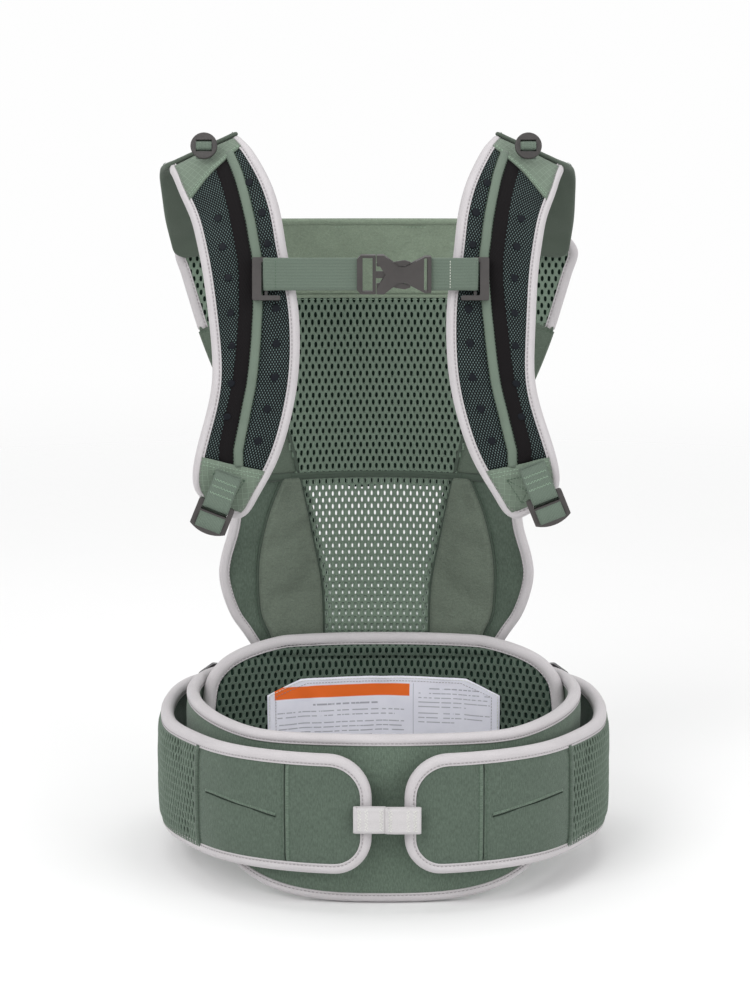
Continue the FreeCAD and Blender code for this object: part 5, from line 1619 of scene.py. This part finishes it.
class StrapFrame:
    """Strap surface: k is the table station, running down; a is mm across from the
    middle towards the inner edge; h is out of the front face (top face if up)."""

    def __init__(self, table, side, up=False):
        outer, inner = [], []
        for xo, zo, xi, zi, y in table:
            mid_z = (zo + zi) / 2
            outer.append((mirrored(xo, mid_z, side), y, zo))
            inner.append((mirrored(xi, mid_z, side), y, zi))
        stations = np.arange(len(table), dtype=float)
        self.k = np.linspace(0, len(table) - 1, 40 * (len(table) - 1) + 1)
        outer, inner = spline(stations, outer, self.k), spline(stations, inner, self.k)
        self.centre = (outer + inner) / 2
        across = inner - outer
        self.widths = np.linalg.norm(across, axis=1)
        self.across = unit(across)
        t = np.gradient(self.centre, axis=0)
        t = unit(t - self.across * (t * self.across).sum(1, keepdims=True))
        n = np.cross(self.across, t)
        sign = np.sign(n[:, 2]) if up else -np.sign(n[:, 1])
        self.normal = n * sign[:, None]
        self.lengths = arc(self.centre)
        self.length = self.lengths[-1]

    def k_of(self, mm):
        return np.interp(mm, self.lengths, self.k)

    def mm_of(self, k):
        return np.interp(k, self.k, self.lengths)

    def half(self, k):
        return np.interp(k, self.k, self.widths) / 2

    def at(self, k, a, h=0.0):
        k, a = np.broadcast_arrays(np.asarray(k, float), np.asarray(a, float))
        centre, across, n = (interp_rows(k, self.k, rows)
                             for rows in (self.centre, self.across, self.normal))
        n = unit(n)
        return centre + unit(across) * a[..., None] + n * h, n


class Strap:
    def __init__(self, side, tag):
        self.side, self.tag, self.body = side, tag, "strap_" + tag
        self.frame = StrapFrame(STRAP, side)

    def build(self):
        self.padding()
        self.mesh_cover()
        self.rail()
        self.dots()
        self.top_patch()
        self.end_patch()
        self.binding()

    def attach(self, ob, *nodes, slot=None):
        attach(ob, self.body, *(n + self.tag for n in nodes), slot=slot)

    def padding(self):
        fr = self.frame
        mm = np.linspace(2, fr.length - 2.0, int(fr.length / 6))
        self.pad_k = fr.k_of(mm)
        self.pad_half = fr.half(self.pad_k) - 1.8 - corner_inset(mm[-1] - mm, 12)
        across = np.linspace(-1, 1, 17)
        K, A = self.pad_k[:, None], self.pad_half[:, None] * across[None]
        ob, self.surf = pad(
            "strap_pad_" + self.tag, fr.at(K, A, -1.9)[0], fr.at(K, A, -9.9)[0], A,
            mm[:, None], KNIT, swell=1.7, rows=self.pad_k, cols=across, seed=80 + self.side,
            wrinkle=0.3, pin=3)
        self.attach(ob, "strap_pad_", slot="knit_green")

    def on(self, k, a, h):
        """Points and normals h above the inflated front face."""
        return self.surf.at(k, a / np.interp(k, self.pad_k, self.pad_half), h)

    def rail_a(self, k):
        """How far across the strap the rail runs."""
        fr = self.frame
        centre = interp_rows(k, fr.k, fr.centre)
        x = mirrored(RAIL(centre[..., 2]), centre[..., 2], self.side)
        return (x - centre[..., 0]) / unit(interp_rows(k, fr.k, fr.across))[..., 0]

    def lane(self, k0, k1, lo, hi, h, mat, columns=9, thick=1.0, crown=0.0, name="lane"):
        """Cloth laid on the strap between lo(k) and hi(k) across."""
        fr = self.frame
        mm0, mm1 = fr.mm_of(k0), fr.mm_of(k1)
        ks = fr.k_of(np.linspace(mm0, mm1, max(6, int((mm1 - mm0) / 5))))
        f = np.linspace(0, 1, columns)
        a0, a1 = lo(ks), hi(ks)
        A = a0[:, None] + (a1 - a0)[:, None] * f[None]
        K = ks[:, None] + 0 * A
        bow = crown * (1 - (2 * f - 1) ** 2)[None] + 0 * A
        return slab(name, self.on(K, A, h + bow)[0], self.on(K, A, h - thick)[0], A,
                    fr.mm_of(K), mat)

    def mesh_cover(self):
        """Teal lanes either side of the rail, and the dark channel beside it."""
        half, rail_a, end = self.frame.half, self.rail_a, LANE_END + 0.05
        outer = self.lane(1.5, end, lambda k: -half(k) + 5.6, lambda k: rail_a(k) - 15.0, 1.0,
                          TEAL_MESH, crown=0.5)
        inner = self.lane(1.2, end, lambda k: rail_a(k) + 3.6, lambda k: half(k) - 5.6, 1.0,
                          TEAL_MESH, crown=0.4)
        self.attach(join([outer, inner], "strap_mesh_cover_" + self.tag), "strap_mesh_",
                    slot="strap_mesh_teal")
        self.attach(self.lane(1.3, end, lambda k: rail_a(k) - 16.0, lambda k: rail_a(k) - 2.4,
                              0.75, CHANNEL, columns=7, crown=0.9,
                              name="strap_channel_" + self.tag))

    def rail(self):
        fr = self.frame
        ks = fr.k_of(np.linspace(fr.mm_of(1.2), fr.mm_of(LANE_END), 130))
        a = self.rail_a(ks)
        parts = [tube(*self.on(ks, a, 1.7), oval(3.5, 2.2, 14), PIPING)]
        for off in (-3.9, 3.9):
            parts.append(stitches(*self.on(ks, a + off, 1.3), THREAD_GREEN, RAIL_STITCH))
        self.attach(join(parts, "strap_rail_" + self.tag), "strap_rail_", slot="piping_green")

    def dots(self):
        ks, across = np.linspace(1.2, 10.6, 400), np.linspace(-30, 30, 61)
        grid, _ = self.frame.at(ks[:, None], across[None])
        dots = []
        for x, z in DOTS:
            dist = (grid[..., 0] - mirrored(x, z, self.side)) ** 2 + (grid[..., 2] - z) ** 2
            i, j = np.unravel_index(np.argmin(dist), dist.shape)
            dots.append(self.dot(ks[i], across[j]))
        self.attach(join(dots, "strap_dots_" + self.tag))

    def dot(self, k, a):
        """Low round button; the last two points are its top and bottom centres."""
        fr = self.frame
        angle = np.linspace(0, 2 * math.pi, 17)[:-1]
        verts = [self.on(fr.k_of(fr.mm_of(k) + r * np.sin(angle)), a + r * np.cos(angle), h)[0]
                 for r, h in DOT_RINGS]
        verts += [self.on(np.array([k]), np.array([a]), h)[0] for h in (2.1, 1.2)]
        turn = [(e, (e + 1) % 16) for e in range(16)]
        quads = [(q * 16 + e, q * 16 + f, q * 16 + 16 + f, q * 16 + 16 + e)
                 for q in range(len(DOT_RINGS) - 1) for e, f in turn]
        top = (len(DOT_RINGS) - 1) * 16
        centre = top + 16
        tris = [(top + e, top + f, centre) for e, f in turn]
        tris += [(f, e, centre + 1) for e, f in turn]
        return make("dot", np.concatenate(verts), quads, np.zeros((centre + 2, 2)), DOT_PRINT,
                    tris=tris)

    def across_patch(self, k, f):
        half = self.frame.half(k)
        return (-half + PATCH_INSET) + (2 * half - 2 * PATCH_INSET) * f

    def top_patch(self):
        """Ripstop over the crest; its lower edge slants up towards the inner side."""

        def slant(f):
            return 2.5 - 1.35 * f

        f, g = np.linspace(0, 1, 13), np.linspace(0, 1, 12)
        K = 0.12 + (slant(f)[None] - 0.12) * g[:, None]
        A = self.across_patch(K, f[None])
        height = 2.5 + 0.5 * np.sin(np.pi * f)[None] + 0 * A
        parts = [slab("top_patch", self.on(K, A, height)[0], self.on(K, A, 1.2)[0], A,
                      self.frame.mm_of(K), RIPSTOP)]
        f = np.linspace(0.03, 0.97, 40)
        for inset in (0.07, 0.16):
            k = slant(f) - inset
            row = self.on(k, self.across_patch(k, f), 3.0)
            parts.append(stitches(*row, THREAD_LIGHT, PATCH_STITCH))
        self.attach(join(parts, "strap_top_patch_" + self.tag), "strap_top_patch_",
                    slot="ripstop_green")

    def end_patch(self):
        """Ripstop over the lower end, with two stitch rows and a crossed box."""
        half = self.frame.half
        parts = [self.lane(LANE_END - 0.02, 11.62, lambda k: -half(k) + PATCH_INSET,
                           lambda k: half(k) - PATCH_INSET, 2.4, RIPSTOP, crown=0.6, thick=1.3)]
        for k in (LANE_END + 0.1, LANE_END + 0.2):
            row = self.on(np.full(40, k), np.linspace(-1, 1, 40) * (half(k) - 7), 2.85)
            parts.append(stitches(*row, THREAD_LIGHT, PATCH_STITCH))
        # box corners: station, share of the half width
        top_l, top_r, low_l, low_r = (10.55, -0.5), (10.55, 0.5), (11.4, -0.35), (11.4, 0.35)
        for start, end in ((top_l, low_l), (top_r, low_r), (top_l, top_r), (low_l, low_r),
                           (top_l, low_r), (top_r, low_l)):
            k = np.linspace(start[0], end[0], 30)
            a = np.linspace(start[1], end[1], 30) * (half(k) - 4)
            parts.append(stitches(*self.on(k, a, 3.0), THREAD_GREEN, BOX_STITCH))
        self.attach(join(parts, "strap_end_patch_" + self.tag), "strap_end_patch_",
                    slot="ripstop_green")

    def binding(self):
        """Round both edges and the lower end."""
        fr, r = self.frame, 12.0
        straight = np.linspace(0.0, fr.length, 120)
        straight = straight[straight < fr.length - r]
        angle = np.linspace(0, math.pi / 2, 9)
        mm = np.r_[straight, fr.length - r + r * np.sin(angle)]
        half = fr.half(fr.k_of(mm)) - np.r_[0 * straight, r - r * np.cos(angle)]
        outline = resample(np.r_[np.stack([-half, mm], 1), np.stack([half, mm], 1)[::-1]], 1.5)
        outline = resample(relax(outline, 6), 3.0)
        parts = [tube(*fr.at(fr.k_of(outline[:, 1]), outline[:, 0], -5.8),
                      binding_profile(7.6, 6.0), BINDING, side=-self.side)]
        a, mm = (outline + right_of(outline) * 5.9).T
        for h, face in ((0.55, 1), (-12.1, -1)):
            p, n = fr.at(fr.k_of(mm), a, h)
            parts.append(stitches(p, n * face, THREAD_GRAY))
        self.attach(join(parts, "strap_binding_" + self.tag), "strap_binding_",
                    slot="binding_gray")


def yoke(side, tag):
    """Rear leg of the strap, from the crest down to the panel's top corner."""
    fr = StrapFrame(YOKE, side, up=True)
    mm = np.linspace(0, fr.length, int(fr.length / 5))
    ks = fr.k_of(mm)
    half = fr.half(ks) + 0.3 - corner_inset(fr.length - mm, 9)
    across = np.linspace(-1, 1, 15)
    A = half[:, None] * across[None]
    K = ks[:, None] + 0 * A
    ob, surf = pad("yoke_" + tag, fr.at(K, A, 3.6)[0], fr.at(K, A, -0.4)[0], A, fr.mm_of(K),
                   YOKE_WEAVE_SHADED, swell=1.5, rows=ks, cols=across, seed=90 + side, wrinkle=0.8)
    # points in metres, either side of the crest; attach does not blend between them, it only bakes
    # the transform
    attach(ob, None, "yoke_" + tag, slot="woven_green",
           blend=("root", "strap_" + tag, (side * 0.14, (20 + DEPTH) * MM, 0.581),
                  (side * 0.14, (10.6 + DEPTH) * MM, 0.582)))
    rows = [(np.linspace(1.3, ks[-1] - 0.25, 60), f) for f in (-0.9, 0.9)]
    rows += [(ks[-1] - up, np.linspace(-0.85, 0.85, 30)) for up in (0.35, 0.55)]
    parts = [stitches(*surf.at(k, f, 0.3), THREAD_GREEN, TAPE_STITCH) for k, f in rows]
    attach(join(parts, "yoke_stitching_" + tag), "root")


# ladder locks: x, z of the middle and tilt in degrees
LOCKS = {"left": (-132.8, 293.5, 22.0), "right": (126.5, 300.5, -22.0)}
# y, z of the short adjuster tail in the lock's lower window
TAIL = [
    (-84.6, 9.0), (-84.6, 4.0), (-84.9, -2.0), (-85.4, -8.0), (-87.0, -10.9), (-89.6, -11.3),
    (-92.0, -9.6), (-92.9, -6.5), (-92.6, -2.6), (-91.2, 0.3), (-88.8, 1.8), (-86.4, 1.6),
]


def lock_tapes(tag):
    """Tape folded round the lock's upper bar, and the adjuster tail below it."""
    lock_x, lock_z, tilt = LOCKS[tag]
    tilt = math.radians(tilt)

    def lock_pt(a, y, z):
        a, y, z = np.broadcast_arrays(*(np.asarray(c, float) for c in (a, y, z)))
        return np.stack([lock_x + a * math.cos(tilt) + z * math.sin(tilt), y,
                         lock_z - a * math.sin(tilt) + z * math.cos(tilt)], -1)

    across = lock_pt(1, 0, 0) - lock_pt(0, 0, 0)
    # (y, z) down the rear, round the bar and up the front
    angle = np.linspace(0, math.pi, 12)
    rear = np.stack([np.linspace(-82.2, -85.6, 12), np.linspace(35, 9.5, 12)], 1)
    wrap = np.stack([-89.0 + 3.4 * np.cos(angle), 8.4 - 3.4 * np.sin(angle)], 1)
    front = np.stack([np.linspace(-92.4, -88.9, 12), np.linspace(10.5, 31, 12)], 1)
    path = resample(np.r_[rear, wrap, front, [[-87.6, 32.6], [-85.6, 33.4]]], 1.4)
    path = relax(path, 3)
    path = lock_pt(0, path[:, 0], path[:, 1])
    parts = [strip(path, facing(path, across), 10.4, 1.5, WEBBING, columns=9)]
    for z in (28.0, 23.0, 17.5):
        y = np.interp(z, [10.5, 31], [-92.4, -88.9]) - 0.85
        row = resample(lock_pt(np.linspace(-9, 9, 16), y, z + 1.0 * zigzag(16)), 0.7)
        parts.append(front_stitches(row, THREAD_LIGHT, LOCK_STITCH))
    attach(join(parts, "strap_end_tape_" + tag), "strap_" + tag, "strap_end_tape_" + tag,
           slot="webbing_green")
    path = resample(smooth_path(TAIL, 80), 1.2)
    path = lock_pt(0, path[:, 0], path[:, 1])
    tail = strip(path, facing(path, across), 10.45, 1.3, WEBBING, columns=9,
                 name="lock_webbing_" + tag)
    attach(tail, "lock_" + tag, slot="webbing_green")


def disc_loop(side, tag):
    """Loop of webbing that carries the round disc."""
    x, y, z = mirrored(-140.5, 570, side), -9.0, 571.0
    lean = math.radians(-18)
    along = np.linspace(-10, 9, 44)
    out = 2.5 - 5.2 * 0.5 * (1 - np.tanh((np.abs(along) - 3.0) / 0.8))
    path = np.stack([np.full(44, x), y + out * math.cos(lean) - along * math.sin(lean),
                     z + along * math.cos(lean) + out * math.sin(lean)], 1)
    loop = strip(path, facing(path, (1.0, 0, 0)), 6.1, 1.1, WEBBING, columns=7,
                 name="disc_loop_" + tag)
    attach(loop, "disc_" + tag, slot="webbing_green")


for side, tag in SIDES:
    Strap(side, tag).build()
    yoke(side, tag)
    lock_tapes(tag)
    disc_loop(side, tag)

# =====================================================================
# chest webbing
# =====================================================================
CHEST_Y, CHEST_Z = -68.0, 478.5
WEB_Y = CHEST_Y + 0.9  # middle of the doubled webbing


def chest_loop(name, x0, x1, r0, r1, stitch_x, thread):
    """Doubled webbing between bars at x0 and x1 with fold radii r0 and r1."""
    angle = np.linspace(math.pi / 2, 3 * math.pi / 2, 12)
    left = np.stack([x0 + r0 * np.cos(angle), WEB_Y + r0 * np.sin(angle)], 1)
    right = np.stack([x1 - r1 * np.cos(angle), WEB_Y - r1 * np.sin(angle)], 1)
    front = np.stack([np.linspace(x0 + 5, x1 - 5, 30), np.full(30, WEB_Y - 1.0)], 1)
    back = np.stack([np.linspace(x1 - 5, x0 + 5, 30), np.full(30, WEB_Y + 1.0)], 1)
    path = relax(resample(np.r_[back[15:], left, front, right, back[:17]], 1.6), 4)
    path = np.c_[path, np.full(len(path), CHEST_Z)]
    loop = strip(path, facing(path, (0, 0, 1.0)), 12.4, 1.5, WEBBING, columns=11)
    z = np.linspace(-11, 11, 24)
    row = np.stack([np.full(24, stitch_x), np.full(24, WEB_Y - 1.75), CHEST_Z + z], 1)
    return join([loop, front_stitches(row, thread, CHEST_STITCH)], name)


left_web = chest_loop("chest_webbing_left", -90.8, -18.6, 2.6, 2.2, -83.5, THREAD_GREEN)
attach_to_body(left_web, "chest_left")
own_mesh(left_web)
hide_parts("chest_webbing_left")
right_web = chest_loop("chest_webbing_right", 34.6, 69.8, 2.2, 2.6, 50.5, THREAD_WHITE)
attach(right_web, "chest_right", "chest_webbing_right", slot="webbing_green")

# =====================================================================
# hardware and side plates keep their CAD shape and get plastic materials
# =====================================================================
HARDWARE = {
    DARK_PLASTIC: ("chest_slider", "ladder_lock", "chest_buckle", "latch_arm", "toggle_disc"),
    GLOSS_PLASTIC: ("side_plate",),
}
for name, ob in frame["nodes"].items():
    for mat, prefixes in HARDWARE.items():
        if name.startswith(prefixes):
            ob.data.materials.clear()
            ob.data.materials.append(mat)

# =====================================================================
# stage, light and camera (metres)
# =====================================================================
FLOOR_RADIUS = 2.6
FLOOR_Z = -0.0002


def floor_material():
    """Pale floor that fades out into the white surround."""
    sh = Shader("studio_floor")
    cloud = sh.noise(sh.object_space(x=0.004, y=0.004, z=0.004))
    gray = srgb(240, 240, 240)
    mat = sh.finish(sh.mix(cloud, shade(gray, 1 - 0.01), shade(gray, 1 + 0.01)), 0.9,
                    specular=0.1)
    distance = sh.add("ShaderNodeVectorMath", operation="LENGTH")
    sh.put(distance.inputs[0], sh.add("ShaderNodeNewGeometry").outputs["Position"])
    mixer = sh.add("ShaderNodeMixShader")
    sh.put(mixer.inputs[0], sh.ramp(distance.outputs["Value"], low=0.7, high=2.4))
    sh.put(mixer.inputs[1], sh.bsdf.outputs[0])
    sh.put(mixer.inputs[2], sh.add("ShaderNodeBsdfTransparent").outputs[0])
    sh.put(sh.output.inputs[0], mixer.outputs[0])
    return mat


def build_floor():
    """Disc of four rings of 64 segments."""
    verts, faces = [(0.0, 0.0, FLOOR_Z)], []
    for k in range(1, 5):
        r = FLOOR_RADIUS * k / 4
        verts += [(r * math.cos(a), r * math.sin(a), FLOOR_Z)
                  for a in np.linspace(0, 2 * math.pi, 65)[:-1]]
    for e in range(64):
        a, b = 1 + e, 1 + (e + 1) % 64
        faces.append((0, a, b))
        for k in range(0, 192, 64):
            faces.append((a + k, a + k + 64, b + k + 64, b + k))
    mesh = bpy.data.meshes.new("floor")
    mesh.from_pydata(verts, [], faces)
    floor = bpy.data.objects.new("floor", mesh)
    scene.collection.objects.link(floor)
    mesh.materials.append(floor_material())


def build_world():
    """White surround: strength 0.78 as a light, 0.99 to the camera."""
    world = bpy.data.worlds.new("studio")
    scene.world = world
    world.use_nodes = True
    tree = world.node_tree
    background = tree.nodes["Background"]
    background.inputs[0].default_value = (1, 1, 1, 1)
    rays = tree.nodes.new("ShaderNodeLightPath")
    strength = tree.nodes.new("ShaderNodeMath")
    strength.operation = "MULTIPLY_ADD"
    tree.links.new(rays.outputs["Is Camera Ray"], strength.inputs[0])
    strength.inputs[1].default_value = 0.21
    strength.inputs[2].default_value = 0.78
    tree.links.new(strength.outputs[0], background.inputs[1])


def aim(ob, location, target):
    ob.location = location
    ob.rotation_euler = (Vector(target) - Vector(location)).to_track_quat("-Z", "Y").to_euler()


def area_light(name, location, target, size, power):
    light = bpy.data.lights.new(name, "AREA")
    light.shape = "RECTANGLE"
    light.size = light.size_y = size
    light.energy = power
    ob = bpy.data.objects.new(name, light)
    aim(ob, location, target)
    scene.collection.objects.link(ob)


def build_camera():
    data = bpy.data.cameras.new("camera")
    data.sensor_fit = "VERTICAL"
    data.sensor_height = 36.0
    data.lens = 117.0
    ob = bpy.data.objects.new("camera", data)
    scene.collection.objects.link(ob)
    target = Vector((-0.0072, DEPTH * MM, 0.303))
    distance, elevation = 2.6, math.radians(12.0)
    back = Vector((0, -distance * math.cos(elevation), distance * math.sin(elevation)))
    ob.location = target + back
    ob.rotation_euler = (target - ob.location).to_track_quat("-Z", "Y").to_euler()
    scene.camera = ob


build_floor()
build_world()
area_light("key", location=(-1.3, -1.9, 2.0), target=(0, 0, 0.3), size=1.6, power=34)
area_light("fill", location=(1.9, -1.5, 1.3), target=(0, 0, 0.25), size=1.8, power=18)
area_light("top", location=(0, 0.4, 2.6), target=(0, 0, 0.2), size=2.0, power=16)
build_camera()
scene.view_settings.view_transform = "Standard"

bpy.context.view_layer.update()
